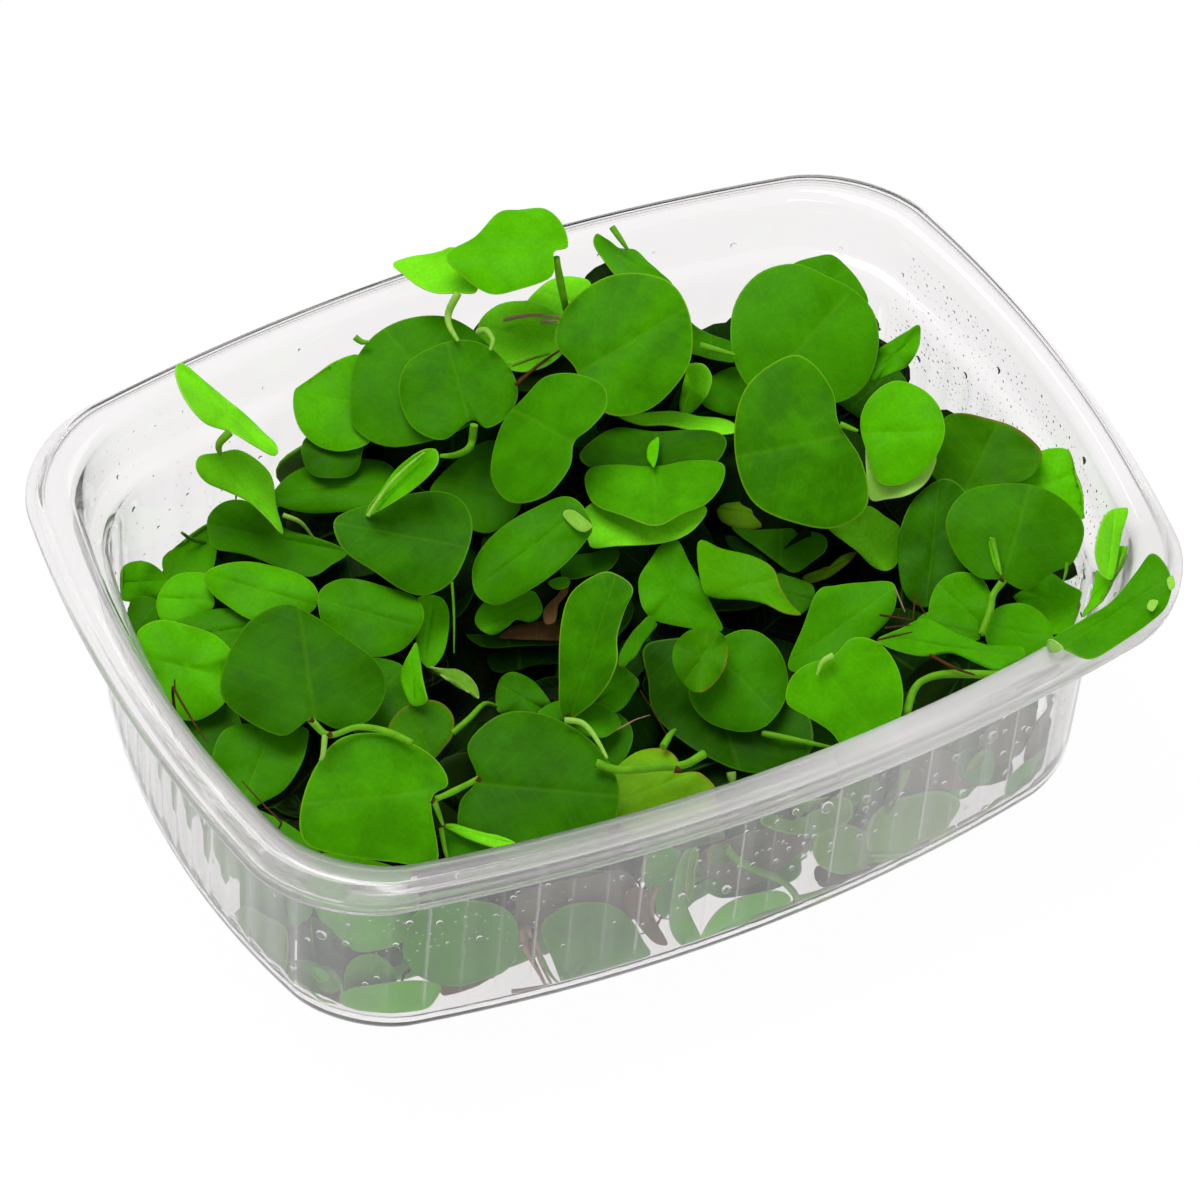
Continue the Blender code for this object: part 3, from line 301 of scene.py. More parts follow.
def loft(rings, firstCentre, lastCentre):
    # rings joined one to the next, and closed by a point at each end
    count = len(rings[0])
    points = np.concatenate([[firstCentre], *rings, [lastCentre]])
    last = len(points) - 1
    faces = []
    for i in range(count):
        j = (i + 1) % count
        faces.append((0, 1 + j, 1 + i))
        for level in range(len(rings) - 1):
            low, high = 1 + level * count, 1 + (level + 1) * count
            faces.append((low + i, low + j, high + j, high + i))
        end = 1 + (len(rings) - 1) * count
        faces.append((end + i, end + j, last))
    return points, faces


def clearPlasticMaterial():
    # polypropylene food tub, thermoformed: clear with some milkiness, cloudier where its front and left
    # are misted inside, and with fine pale upright lines up its front wall, a painted highlight for the light its
    # ribs catch
    material, tree, shader = newMaterial("thermoformedClearPolypropylene")
    place = addNode(tree, "ShaderNodeTexCoord").outputs["Object"]
    x, y, z = addNode(tree, "ShaderNodeSeparateXYZ", {"Vector": place}).outputs
    # places where something starts or ends, in millimetres
    shares = {name: addNode(tree, "ShaderNodeMapRange",
                            {"Value": axis, "From Min": start * mm, "From Max": end * mm},
                            interpolation_type="SMOOTHSTEP")
              for name, axis, start, end in (
                  ("nearFront", y, -16, -29), ("nearLeft", x, -38, -47), ("rim", z, 22.0, 24.0),
                  ("aboveFoot", z, 3.0, 5.0), ("belowStep", z, 21.6, 20.6), ("atFront", y, -24, -28))}
    half = tub["halfLength"]
    along = addNode(tree, "ShaderNodeMapRange", {"Value": x, "From Min": -half * mm, "From Max": half * mm})
    for name in ("wallMist", "rimMist"):
        stops = plastic[name]
        shares[name] = addNode(tree, "ShaderNodeValToRGB", {"Fac": along})
        elements = shares[name].color_ramp.elements
        while len(elements) < len(stops):
            elements.new(0.5)
        for element, (spotX, amount) in zip(elements, stops):
            element.position = 0.5 + spotX / 2 / half
            element.color = (amount, amount, amount, 1.0)
    # pale upright lines 0.3 mm wide, a painted highlight for the light the ribs catch, one every 11 mm bolder than
    # those every 3.66 mm
    offFirstLine = addNode(tree, "ShaderNodeMath", {0: x, 1: -plastic["firstLine"] * mm}, operation="ADD")
    for name, pitch, low, high, strength in plastic["lines"]:
        turn = addNode(tree, "ShaderNodeMath", {0: offFirstLine, 1: 2 * math.pi / (pitch * mm)},
                       operation="MULTIPLY")
        beat = addNode(tree, "ShaderNodeMath", {0: turn}, operation="COSINE")
        shares[name] = addNode(tree, "ShaderNodeMapRange",
                               {"Value": beat, "From Min": low, "From Max": high, "To Max": strength},
                               interpolation_type="SMOOTHSTEP")
    for name, operation, first, second in (
            ("near", "MAXIMUM", "nearFront", "nearLeft"), ("offRim", "SUBTRACT", 1.0, "rim"),
            ("onWall", "MULTIPLY", "wallMist", "offRim"), ("onRim", "MULTIPLY", "rimMist", "rim"),
            ("mist", "ADD", "onWall", "onRim"), ("cloud", "MULTIPLY", "near", "mist"),
            ("wall", "MULTIPLY", "aboveFoot", "belowStep"), ("frontWall", "MULTIPLY", "wall", "atFront"),
            ("allLines", "MAXIMUM", "boldRibHighlights", "fineRibHighlights"), ("lines", "MULTIPLY", "allLines", "frontWall"),
            ("base", "ADD", "lines", plastic["haze"]), ("haze", "ADD", "cloud", "base"),
            ("clear", "SUBTRACT", 1.0, "haze")):
        shares[name] = addNode(tree, "ShaderNodeMath", operation=operation,
                               inputs={0: shares.get(first, first), 1: shares.get(second, second)})
    # faint flow marks about 3 mm apart from the forming of the warm sheet
    flow = addNode(tree, "ShaderNodeTexNoise", {"Vector": place, "Scale": 330.0, "Detail": 2.0})
    soft = addNode(tree, "ShaderNodeMapRange", {"Value": flow, "From Min": 0.3, "From Max": 0.7, "To Max": 0.02})
    bump = addNode(tree, "ShaderNodeBump", {"Strength": 0.03, "Distance": 0.0002, "Height": flow})
    setInputs(shader, {"Base Color": "#FCFAFA", "IOR": 1.49, "Transmission Weight": shares["clear"],
                       "Roughness": soft, "Normal": bump})
    return material


def ribbed(points):
    # upright ribs round the walls: outward waves, every second one bolder, faded out at floor and step
    x, y, z = points.T
    onLong = np.abs(y) / tub["halfWidth"] > np.abs(x) / tub["halfLength"]
    along = np.where(onLong, x / tub["ribPitchLong"], y / tub["ribPitchShort"])
    wave = np.cos(2 * np.pi * along) * 0.5 + 0.5
    bold = np.where(np.mod(np.round(along), 2) == 0, 1.0, 0.62)
    nearCorner = np.abs(np.abs(y) / tub["halfWidth"] - np.abs(x) / tub["halfLength"])
    fade = np.clip((z - tub["ribLow"] + 1.2) / 1.6, 0, 1) * np.clip((tub["ribHigh"] + 0.6 - z) / 0.8, 0, 1)
    fade = fade * np.clip((nearCorner - 0.04) / 0.1, 0, 1)
    inward = tub["ribDepth"] * wave ** 2 * bold * fade
    radius = np.hypot(x, y)
    points[:, 0] -= x / radius * inward
    points[:, 1] -= y / radius * inward
    return points


def makeTub():
    angles = outlineAngles(tub["outlinePoints"])
    rings = []
    for inset, height in tub["underside"] + tub["rimTop"] + tub["inside"]:
        radii = outlineRadii(angles, inset)
        level = np.stack([radii * np.cos(angles), radii * np.sin(angles), np.full(len(angles), height)], 1)
        rings.append(ribbed(level))
    points, faces = loft(rings, (0, 0, 0.0), (0, 0, 0.5))
    piece = addPiece("clearTub", points, faces, clearPlasticMaterial())
    handOver(piece, "tub")


makeTub()
print("tub is made")


# leaves and stems, laid from the lowest to the highest:
# stalk end px, tip px, width, slant from facing the viewer, side the face leans to, height,
# curl of its sides, curl of its ends, lobes, point of its tip, colour, whether it has a solid;
# or for a stem its points (px, px, height) and its radius
layers = (
    ("i1", (590, 312), (535, 290), 11.0, 35, 90, 27.5, -10, 0, .04, .1, "mid", False),
    ("h1", (562, 340), (488, 322), 12.0, 35, 90, 26.0, 15, 0, .04, .2, "mid", False),
    ("leaf_top_back", (664, 284), (597, 238), 9.0, 60, 54, 31.0, 10, 10, .02, .3, "mid", True),
    ("b3", (795, 318), (862, 280), 11.5, 30, 80, 27.0, -10, 0, .04, .1, "mid", False),
    ("b4", (848, 410), (895, 368), 10.0, 30, 90, 22.0, 0, 0, .04, .1, "dark", False),
    ("leaf_back_point", (876, 366), (920, 328), 6.5, 30, 120, 30.0, 10, 0, .02, .8, "mid", True),
    ("rr", (216, 545), (170, 545), 9.0, 28, 90, 11.5, 0, 0, .05, .0, "mid", False),
    ("leaf_left_dark", (345, 552), (207, 524), 9.5, 26, 90, 16.5, 15, 0, .03, .1, "dark", True),
    ("leaf_glossy", (402, 488), (276, 497), 8.0, 42, 92, 20.0, -30, 0, .02, .2, "dark", True),
    ("e0", (362, 455), (302, 446), 7.0, 30, 90, 20.0, 0, 0, .04, .1, "dark", False),
    ("leaf_back_left", (390, 408), (295, 390), 11.0, 25, 90, 24.0, -10, 0, .04, .0, "bright", True),
    ("o1", (440, 470), (512, 490), 9.5, 25, 90, 20.0, 0, 0, .03, .1, "dark", False),
    ("leaf_far_left", (174, 584), (114, 586), 6.5, 40, 30, 16.0, -8, 0, .02, .4, "mid", True),
    ("s2", (158, 600), (125, 640), 6.0, 35, 110, 10.0, -10, 0, .0, .1, "dark", False),
    ("r1", (215, 600), (158, 598), 6.5, 26, 92, 14.0, -10, 0, .04, .0, "olive", False),
    ("g64", (250, 622), (190, 632), 6.5, 26, 90, 14.0, 0, 0, .03, .0, "dark", False),
    ("leaf_oval_left", (314, 606), (204, 575), 6.6, 26, 92, 18.0, -15, -8, .03, .0, "bright", True),
    ("g61", (428, 664), (437, 598), 5.0, 30, 90, 18.0, 0, 0, .0, .0, "dark", False),
    ("leaf_middle_left", (315, 606), (420, 634), 9.2, 26, 92, 20.0, -12, -8, .03, .0, "mid", True),
    ("yr", (345, 724), (404, 668), 8.5, 24, 90, 19.5, 0, 0, .03, .0, "dark", False),
    ("d66", (225, 705), (185, 752), 7.5, 30, 90, 14.0, 0, 0, .03, .0, "dark", False),
    ("leaf_heart", (470, 545), (335, 520), 11.0, 22, 95, 23.0, -12, 0, .05, .25, "mid", True),
    ("leaf_back_dark", (462, 430), (385, 336), 15.0, 24, 95, 26.0, -12, -8, .04, .0, "dark", True),
    ("leaf_kidney_left", (471, 421), (449, 341), 12.3, 20, 85, 29.0, -12, 0, .15, .0, "mid", True),
    ("leaf_rolled", (366, 515), (437, 451), 6.5, 45, 140, 27.0, 40, 0, .0, .3, "bright", True),
    ("leaf_pointed", (218, 452), (283, 534), 9.5, 24, 55, 23.0, -50, -10, .08, .7, "bright", True),
    ("leaf_standing_left", (229, 431), (246, 404), 13.6, 58, 48, 29.5, 10, 10, .03, .0, "bright", True),
    ("leaf_tall_left", (460, 287), (397, 261), 8.0, 45, 112, 33.5, 40, 0, .02, .3, "bright", True),
    ("stem_top", ((556, 258, 37.0), (561, 285, 33.5), (568, 318, 29.0)), 0.38, True),
    ("leaf_top", (553, 250), (446, 253), 12.0, 34, 92, 37.5, -26, 0, .13, .3, "bright", True),
    ("u2", (718, 372), (745, 412), 7.5, 30, 60, 21.0, 15, 0, .0, .2, "mid", False),
    ("u1", (684, 416), (703, 366), 5.0, 45, 170, 23.0, 15, 0, .0, .2, "mid", False),
    ("n1", (735, 426), (630, 416), 7.0, 70, 88, 21.0, 10, 10, .0, .3, "mid", False),
    ("leaf_under_half", (652, 482), (655, 434), 14.8, 40, 90, 21.0, 10, 0, .02, .0, "dark", True),
    ("leaf_round_back", (581, 367), (682, 305), 14.8, 18, 90, 31.0, -12, 0, .08, .0, "bright", True),
    ("leaf_bean", (573, 442), (518, 411), 15.5, 42, 140, 29.0, -10, 0, .10, .0, "mid", True),
    ("w51", (716, 510), (775, 520), 5.0, 30, 90, 18.0, -20, 0, .0, .2, "olive", False),
    ("q3", (802, 578), (858, 552), 3.0, 40, 90, 18.0, -20, 0, .0, .2, "olive", False),
    ("leaf_under_middle", (706, 645), (748, 772), 15.5, 24, 90, 18.0, 12, 0, .04, .0, "dark", True),
    ("leaf_round_middle", (706, 655), (765, 716), 10.3, 18, 90, 21.0, -12, 0, .06, .0, "mid", True),
    ("leaf_folded_left", (662, 543), (702, 628), 9.0, 18, 90, 21.5, 10, -10, .03, .0, "mid", True),
    ("leaf_red_edge", (722, 632), (684, 686), 6.0, 20, 90, 24.0, 10, 0, .0, .0, "olive", True),
    ("q2", (780, 585), (815, 595), 6.0, 26, 90, 21.0, 0, 0, .0, .2, "dark", False),
    ("leaf_folded_right", (700, 590), (790, 568), 7.8, 24, 100, 23.5, 20, 0, .02, .0, "bright", True),
    ("leaf_half_lower", (640, 497), (640, 546), 12.4, 33, 90, 21.5, 0, 0, .02, .0, "mid", True),
    ("leaf_half_moon", (654, 466), (657, 524), 14.6, 42, 90, 25.0, -12, 0, .02, .1, "bright", True),
    ("q1", (535, 600), (484, 626), 5.0, 30, 90, 19.5, -20, 0, .0, .2, "mid", False),
    ("leaf_oval_middle", (588, 516), (480, 598), 8.6, 20, 115, 25.0, -12, -10, .03, .1, "mid", True),
    ("v52", (835, 530), (892, 560), 6.0, 28, 80, 20.0, 0, 0, .0, .2, "mid", False),
    ("leaf_round_far", (750, 392), (858, 275), 14.0, 16, 80, 30.0, -10, -8, .04, .0, "mid", True),
    ("leaf_slant", (790, 662), (890, 592), 8.6, 18, 90, 22.5, 0, -8, .02, .0, "mid", True),
    ("leaf_right_back", (1008, 502), (1088, 478), 9.4, 22, 85, 26.0, -8, 0, .04, .0, "bright", True),
    ("leaf_right_curled", (965, 490), (1000, 420), 11.5, 22, 85, 27.0, 35, 20, .04, .0, "dark", True),
    ("leaf_right_tall", (930, 606), (945, 482), 8.6, 20, 110, 24.5, 12, 0, .02, .1, "mid", True),
    ("d1", (1010, 600), (1085, 606), 7.0, 32, 90, 21.5, 0, 0, .04, .1, "dark", False),
    ("leaf_right_small", (985, 625), (940, 582), 8.0, 18, 90, 24.5, -10, 0, .04, .0, "bright", True),
    ("s62", (978, 637), (918, 622), 7.0, 26, 90, 24.5, -30, 0, .02, .0, "mid", False),
    ("leaf_right_big", (1003, 580), (1032, 487), 14.0, 18, 92, 28.5, -12, -8, .06, .0, "dark", True),
    ("leaf_pale_under", (868, 445), (930, 490), 9.0, 18, 80, 28.5, 0, 0, .03, .0, "pale", True),
    ("leaf_round_bright", (861, 432), (945, 430), 11.2, 14, 90, 30.5, -10, 0, .03, .0, "bright", True),
    ("leaf_big_middle", (845, 430), (740, 452), 17.4, 14, 95, 32.0, -12, -8, .20, .0, "bright", True),
    ("x1", (1092, 610), (1142, 552), 6.4, 30, 140, 29.0, 0, 0, .03, .2, "bright", False),
    ("x2", (1108, 580), (1083, 617), 4.0, 40, 140, 27.5, 0, 0, .0, .2, "bright", False),
    ("leaf_standing_right", (1112, 584), (1124, 508), 7.0, 50, 20, 31.5, 10, 0, .0, .2, "bright", True),
    ("leaf_right_front", (985, 640), (1045, 650), 9.0, 18, 80, 24.5, -10, 0, .04, .0, "mid", True),
    ("stem_right", ((1003, 581, 27.5), (993, 595, 27.0), (990, 610, 26.5), (981, 635, 25.5)), 0.36, True),
    ("leaf_wavy", (878, 640), (1021, 664), 5.5, 36, 85, 26.5, 0, 10, .0, .2, "mid", True),
    ("stem_bent", ((906, 714, 24.5), (914, 690, 24.8), (926, 679, 25.0), (950, 674, 25.0), (1003, 675, 24.5)),
     0.38, True),
    ("leaf_kidney_right", (826, 655), (880, 732), 12.6, 10, 90, 27.0, -10, 0, .12, .0, "bright", True),
    ("z0", (575, 712), (612, 768), 8.0, 28, 90, 18.5, 0, 0, .04, .0, "mid", False),
    ("z1", (602, 706), (640, 680), 6.0, 28, 90, 19.0, 0, 0, .03, .1, "dark", False),
    ("z2", (540, 702), (503, 682), 6.0, 28, 90, 18.0, 0, 0, .03, .0, "dark", False),
    ("z3", (590, 735), (570, 700), 6.0, 28, 90, 20.0, 0, 0, .0, .2, "mid", False),
    ("leaf_olive_front", (690, 778), (618, 805), 8.4, 22, 90, 21.5, -20, 0, .04, .0, "olive", True),
    ("leaf_front_big", (478, 779), (619, 792), 13.8, 24, 90, 24.0, -12, -8, .13, .0, "dark", True),
    ("stem_front", ((596, 763, 26.5), (620, 770, 26.0), (655, 767, 25.5), (683, 765, 25.2), (704, 754, 25.0)),
     0.42, True),
    ("stem_thick", ((620, 665, 22.0), (635, 645, 22.0), (652, 623, 22.0)), 0.5, True),
    ("leaf_tall_middle", (567, 717), (612, 575), 7.6, 20, 140, 26.5, 45, -10, .0, .0, "bright", True),
    ("leaf_red_round", (432, 757), (412, 705), 6.4, 24, 90, 22.5, -12, 0, .04, .1, "olive", True),
    ("leaf_left_bright", (228, 672), (134, 648), 10.3, 18, 90, 18.0, -12, 0, .05, .0, "bright", True),
    ("leaf_front_left", (275, 728), (244, 812), 9.0, 22, 100, 18.5, 10, 0, .03, .1, "dark", True),
    ("leaf_big_left", (310, 718), (292, 606), 16.6, 26, 90, 24.0, -16, -10, .10, .0, "dark", True),
    ("l69", (322, 858), (252, 809), 5.2, 30, 90, 17.0, 0, 0, .0, .3, "mid", False),
    ("leaf_corner_hanging", (365, 868), (366, 947), 10.6, 46, -93, 17.0, -20, 0, .04, .0, "bright", True),
    ("leaf_front_bright", (435, 797), (302, 808), 12.6, 14, 90, 26.0, -12, -8, .13, .0, "bright", True),
    ("stem_fork", ((311, 720, 28.0), (329, 735, 28.0), (358, 727, 28.5), (388, 732, 28.3), (412, 743, 28.0)),
     0.32, True),
    ("stem_link", ((436, 799, 27.5), (452, 792, 27.5), (478, 779, 27.0)), 0.3, True),
    ("t81", (421, 705), (415, 645), 3.2, 30, 150, 22.0, 0, 0, .0, .6, "bright", False),
    ("q4", (479, 698), (430, 667), 3.5, 40, 90, 21.0, -20, 0, .0, .2, "olive", False),
    ("q5", (443, 830), (500, 852), 5.0, 35, 90, 21.5, 10, 0, .0, .2, "mid", False),
    ("t73", (443, 827), (520, 846), 3.4, 40, 90, 24.0, -20, 0, .0, .4, "bright", False),
    ("leaf_over_rim", (1050, 648), (1174, 570), 7.4, 36, 97, 33.0, -6, 4, .0, .1, "mid", True),
)
# outlines as they show, 12 points for each leaf: from the stalk end on, against the clock
leafOutlines = {
    "h1": "566,345 560,318 540,304 518,301 498,305 482,318 477,333 484,350 500,365 520,372 542,368 558,358",
    "i1": "592,300 590,282 575,277 562,277 549,281 537,290 527,302 533,312 547,318 562,320 576,317 586,309",
    "leaf_top_back": "664,292 672,284 660,272 648,262 635,250 618,248 605,238 596,234 594,245 605,262 620,280 "
        "640,293",
    "b3": "800,320 850,330 868,305 860,283 846,266 832,255 815,257 795,263 780,275 775,290 780,305 790,315",
    "leaf_back_point": "872,382 882,378 892,373 906,367 915,355 920,341 919,325 906,332 893,340 880,348 871,358 "
        "868,370",
    "rr": "217,545 214,518 203,510 186,513 170,518 163,530 165,541 163,555 163,570 175,585 195,588 212,572",
    "leaf_left_dark": "318,538 290,531 268,517 247,501 224,502 208,517 209,537 216,549 250,556 305,577 332,565 "
        "347,552",
    "leaf_glossy": "400,482 388,464 362,459 335,460 308,466 286,478 271,498 285,508 310,513 340,512 365,509 "
        "388,500",
    "leaf_back_left": "385,405 380,370 358,355 335,357 317,360 302,373 294,392 294,412 302,432 320,447 345,451 "
        "372,440",
    "o1": "505,462 495,441 475,446 455,462 440,476 430,492 445,510 468,528 490,533 512,520 522,503 520,482",
    "leaf_far_left": "172,586 163,573 152,564 141,561 129,563 119,570 113,580 114,592 122,600 137,602 150,600 "
        "163,596",
    "s2": "160,612 156,600 142,597 127,602 116,612 115,625 120,640 128,655 138,660 148,655 155,640 159,626",
    "r1": "214,600 206,576 190,573 177,575 166,583 158,596 157,608 162,620 178,622 195,618 206,614 212,609",
    "g64": "250,622 240,612 222,609 200,613 182,620 178,632 185,645 200,652 216,655 232,652 242,642 249,633",
    "leaf_oval_left": "318,602 315,587 300,575 275,567 246,562 218,566 204,576 211,592 228,606 252,620 282,622 "
        "308,614",
    "g61": "432,668 443,655 448,635 449,612 443,599 430,595 417,599 415,612 414,626 416,640 418,655 424,665",
    "leaf_middle_left": "318,605 325,628 345,648 374,657 400,651 417,634 424,614 414,597 388,588 360,580 338,580 "
        "321,590",
    "leaf_heart": "472,532 464,504 442,492 412,494 384,502 352,510 334,523 344,550 374,571 405,591 430,594 "
        "456,576",
    "leaf_back_dark": "460,430 490,400 500,365 482,338 455,320 428,316 398,322 372,338 354,365 350,398 356,430 "
        "395,447",
    "leaf_kidney_left": "471,420 487,428 508,416 518,393 508,365 485,345 458,340 428,349 405,366 399,395 412,427 "
        "443,440",
    "leaf_rolled": "366,516 378,511 395,501 412,490 428,476 438,462 436,450 424,450 408,459 394,472 382,489 "
        "370,505",
    "leaf_pointed": "219,453 200,456 196,468 206,482 228,492 250,503 268,519 283,534 276,506 272,478 258,461 "
        "238,450",
    "leaf_standing_left": "231,432 253,445 274,456 277,446 262,431 243,412 225,398 203,380 182,363 175,372 "
        "184,398 205,423",
    "leaf_tall_left": "458,293 476,292 478,272 468,255 453,247 440,251 428,254 410,257 393,264 404,275 418,286 "
        "436,293",
    "leaf_top": "554,252 568,246 562,224 545,209 520,210 498,213 475,237 446,255 462,276 490,294 520,289 552,276",
    "u1": "684,416 694,411 702,402 708,393 712,378 706,366 697,363 688,365 685,376 682,388 680,400 680,410",
    "n1": "737,432 734,424 722,419 700,417 685,413 668,411 645,413 618,416 640,425 665,425 690,430 712,435",
    "leaf_under_half": "655,432 620,428 598,437 580,455 592,468 620,475 655,478 695,475 718,460 726,442 715,432 "
        "690,430",
    "leaf_round_back": "575,368 588,400 615,416 648,410 674,388 691,358 690,316 672,284 637,273 600,280 566,308 "
        "555,342",
    "leaf_bean": "574,442 590,428 606,408 603,386 575,374 546,377 526,396 502,425 491,474 510,502 545,496 "
        "569,468",
    "w51": "716,508 720,520 732,527 748,530 764,527 778,520 768,512 755,505 745,498 735,499 725,501 718,504",
    "q3": "802,578 806,583 816,582 828,578 840,570 850,561 858,552 848,553 838,560 828,567 820,570 808,575",
    "leaf_under_middle": "662,640 643,650 648,680 652,710 672,733 706,756 745,772 785,771 812,748 806,710 "
        "770,670 715,640",
    "leaf_round_middle": "708,652 692,675 690,700 708,722 740,732 766,726 784,703 788,678 780,652 762,634 "
        "742,630 722,638",
    "leaf_folded_left": "656,621 688,628 722,631 713,608 702,585 688,560 677,540 661,545 650,560 639,578 640,600 "
        "646,613",
    "leaf_red_edge": "706,628 690,630 676,642 672,658 678,677 690,690 703,692 716,682 725,668 728,650 724,636 "
        "716,630",
    "q2": "803,613 812,604 815,595 812,585 800,580 788,576 778,574 772,585 774,597 780,606 788,612 796,615",
    "leaf_folded_right": "702,588 715,598 745,600 765,604 784,613 801,615 791,604 781,588 773,568 752,556 "
        "722,549 698,542",
    "leaf_half_lower": "640,497 600,500 582,515 588,540 594,548 615,546 640,545 662,543 682,537 698,525 706,508 "
        "680,497",
    "leaf_half_moon": "655,467 618,465 592,468 585,481 594,504 624,516 656,526 684,513 706,504 722,484 722,464 "
        "690,461",
    "q1": "540,600 530,591 505,603 488,601 478,610 475,622 482,631 494,635 506,628 517,619 532,622 542,613",
    "leaf_oval_middle": "592,526 580,503 562,497 535,508 508,523 486,543 473,567 476,594 497,605 530,590 562,567 "
        "585,542",
    "v52": "868,506 852,516 838,524 829,529 842,540 858,552 872,566 886,571 897,564 899,547 900,528 886,517",
    "leaf_round_far": "758,395 800,404 840,402 866,384 878,350 875,316 856,292 828,277 795,264 757,275 733,310 "
        "734,360",
    "leaf_slant": "788,665 803,672 830,662 855,650 872,636 888,620 896,602 892,583 862,583 835,586 817,592 "
        "803,627",
    "leaf_right_back": "1012,490 1035,508 1065,520 1085,518 1093,503 1093,482 1087,463 1072,451 1056,448 "
        "1038,452 1020,462 1011,475",
    "leaf_right_curled": "975,495 1003,486 1030,478 1042,455 1030,438 1012,426 990,419 962,413 944,419 934,446 "
        "930,470 948,490",
    "leaf_right_tall": "932,606 955,592 968,560 972,520 965,492 948,479 930,485 910,505 899,535 898,562 903,590 "
        "916,605",
    "d1": "1015,600 1035,628 1058,634 1078,622 1088,606 1082,592 1066,583 1052,574 1040,580 1028,588 1020,592 "
        "1014,596",
    "leaf_right_small": "986,624 993,610 991,595 981,578 962,572 945,577 934,590 929,606 930,622 945,632 960,634 "
        "975,630",
    "s62": "980,637 976,622 965,612 948,608 931,611 917,620 925,630 940,638 952,642 962,644 970,643 977,640",
    "leaf_right_big": "1002,580 1026,590 1052,573 1074,561 1084,528 1066,502 1036,486 1000,484 965,492 946,520 "
        "955,554 978,577",
    "leaf_pale_under": "866,440 866,470 870,499 888,499 908,495 925,484 934,468 936,455 925,440 905,432 885,430 "
        "872,433",
    "leaf_round_bright": "861,432 868,455 878,482 900,485 921,474 937,455 945,430 938,405 920,388 895,381 "
        "874,393 862,412",
    "leaf_big_middle": "839,424 833,392 812,363 788,356 750,382 735,422 738,470 756,505 795,523 836,528 867,506 "
        "862,462",
    "x1": "1112,600 1122,592 1132,582 1140,569 1141,559 1135,550 1126,546 1117,548 1112,560 1108,575 1105,590 "
        "1106,600",
    "x2": "1083,617 1098,605 1112,597 1112,588 1108,580 1102,576 1097,570 1095,580 1092,590 1090,600 1087,608 "
        "1084,613",
    "leaf_standing_right": "1112,579 1116,565 1119,548 1122,532 1128,510 1119,508 1109,511 1102,521 1097,537 "
        "1095,552 1098,567 1104,577",
    "leaf_right_front": "988,618 985,635 992,652 1008,664 1028,668 1046,658 1053,640 1050,625 1040,612 1025,604 "
        "1008,604 996,609",
    "leaf_wavy": "877,640 895,650 922,656 950,653 978,664 1008,675 1020,668 1023,648 990,646 955,633 925,619 "
        "900,629",
    "leaf_kidney_right": "833,656 806,665 790,680 787,703 808,717 830,731 850,752 885,745 902,710 899,672 "
        "880,644 853,638",
    "z1": "600,706 614,712 625,706 633,694 639,682 630,672 620,665 612,672 606,680 600,690 596,698 596,703",
    "z2": "550,702 540,688 530,679 514,672 502,677 496,692 497,710 505,714 520,713 533,713 541,711 547,708",
    "z3": "560,722 585,735 602,738 614,732 621,726 616,714 603,705 588,702 570,700 552,703 537,714 548,722",
    "leaf_front_big": "477,779 460,803 462,838 500,862 550,858 600,840 619,808 614,772 588,738 545,715 502,714 "
        "468,744",
    "leaf_tall_middle": "562,719 586,709 606,687 617,662 617,637 624,612 633,589 618,575 600,573 572,592 561,625 "
        "559,675",
    "leaf_red_round": "453,735 453,716 441,703 424,700 406,706 394,717 388,730 392,745 405,757 420,763 434,759 "
        "444,748",
    "leaf_left_bright": "228,668 232,653 216,636 190,626 160,620 138,631 132,654 142,687 162,711 192,721 216,711 "
        "228,695",
    "leaf_front_left": "275,726 245,724 222,732 212,757 216,775 230,797 243,812 262,803 284,790 300,767 307,745 "
        "306,728",
    "leaf_big_left": "311,719 338,729 370,720 386,690 377,662 345,637 312,615 284,604 247,624 222,672 228,706 "
        "280,736",
    "l69": "322,855 304,836 288,824 270,815 253,808 247,812 255,826 270,842 288,858 305,868 318,870 324,864",
    "leaf_corner_hanging": "362,858 325,853 309,864 305,885 315,910 326,932 350,947 375,948 402,938 418,914 "
        "416,890 400,870",
    "leaf_front_bright": "431,801 448,784 436,760 408,742 372,733 337,741 312,774 300,815 306,843 340,855 "
        "395,862 437,864",
    "t81": "418,706 427,701 425,690 422,675 420,658 416,643 410,652 405,662 401,674 402,684 406,695 411,704",
    "q4": "479,698 477,687 470,677 458,670 445,669 430,667 438,673 447,680 456,686 465,691 472,694 476,697",
    "q5": "441,828 442,845 449,862 465,861 485,857 505,852 519,848 500,846 482,842 466,836 455,831 447,827",
    "t73": "444,826 456,833 468,839 482,844 498,848 519,848 512,841 500,836 486,833 472,830 458,826 450,824",
    "leaf_over_rim": "1050,641 1068,651 1091,659 1120,643 1148,624 1166,607 1172,582 1163,561 1151,554 1138,570 "
        "1112,601 1082,620",
    "leaf_olive_front": "676,773 678,760 664,749 640,751 620,764 606,785 606,812 625,832 662,836 700,818 718,795 "
        "700,773",
}
# the rule by which the solids were laid, kept here so that each leaf lands on its solid
heap = {"notchTurn": 0.3, "minFacing": 0.4, "thickness": 0.5, "coarseRings": (0.55, 1.0),
        "coarseAngles": (180, 160, 130, 100, 65, 32, 0, -32, -65, -100, -130, -160),
        "layerGap": 0.35, "cellPx": 3.0, "cells": 400, "samplesPerEdge": 7}
leafForm = {"outlinePoints": 60, "rings": (0.14, 0.3, 0.46, 0.62, 0.76, 0.87, 0.945, 0.985, 1.0),
            "thickness": 0.34, "edgeThickness": 0.12, "ripple": 0.32, "midribGroove": 0.16,
            "plainMargin": 0.86, "blushReach": 1.6}


def readPoints(text):
    return np.array([[float(value) for value in pair.split(",")] for pair in text.split()])


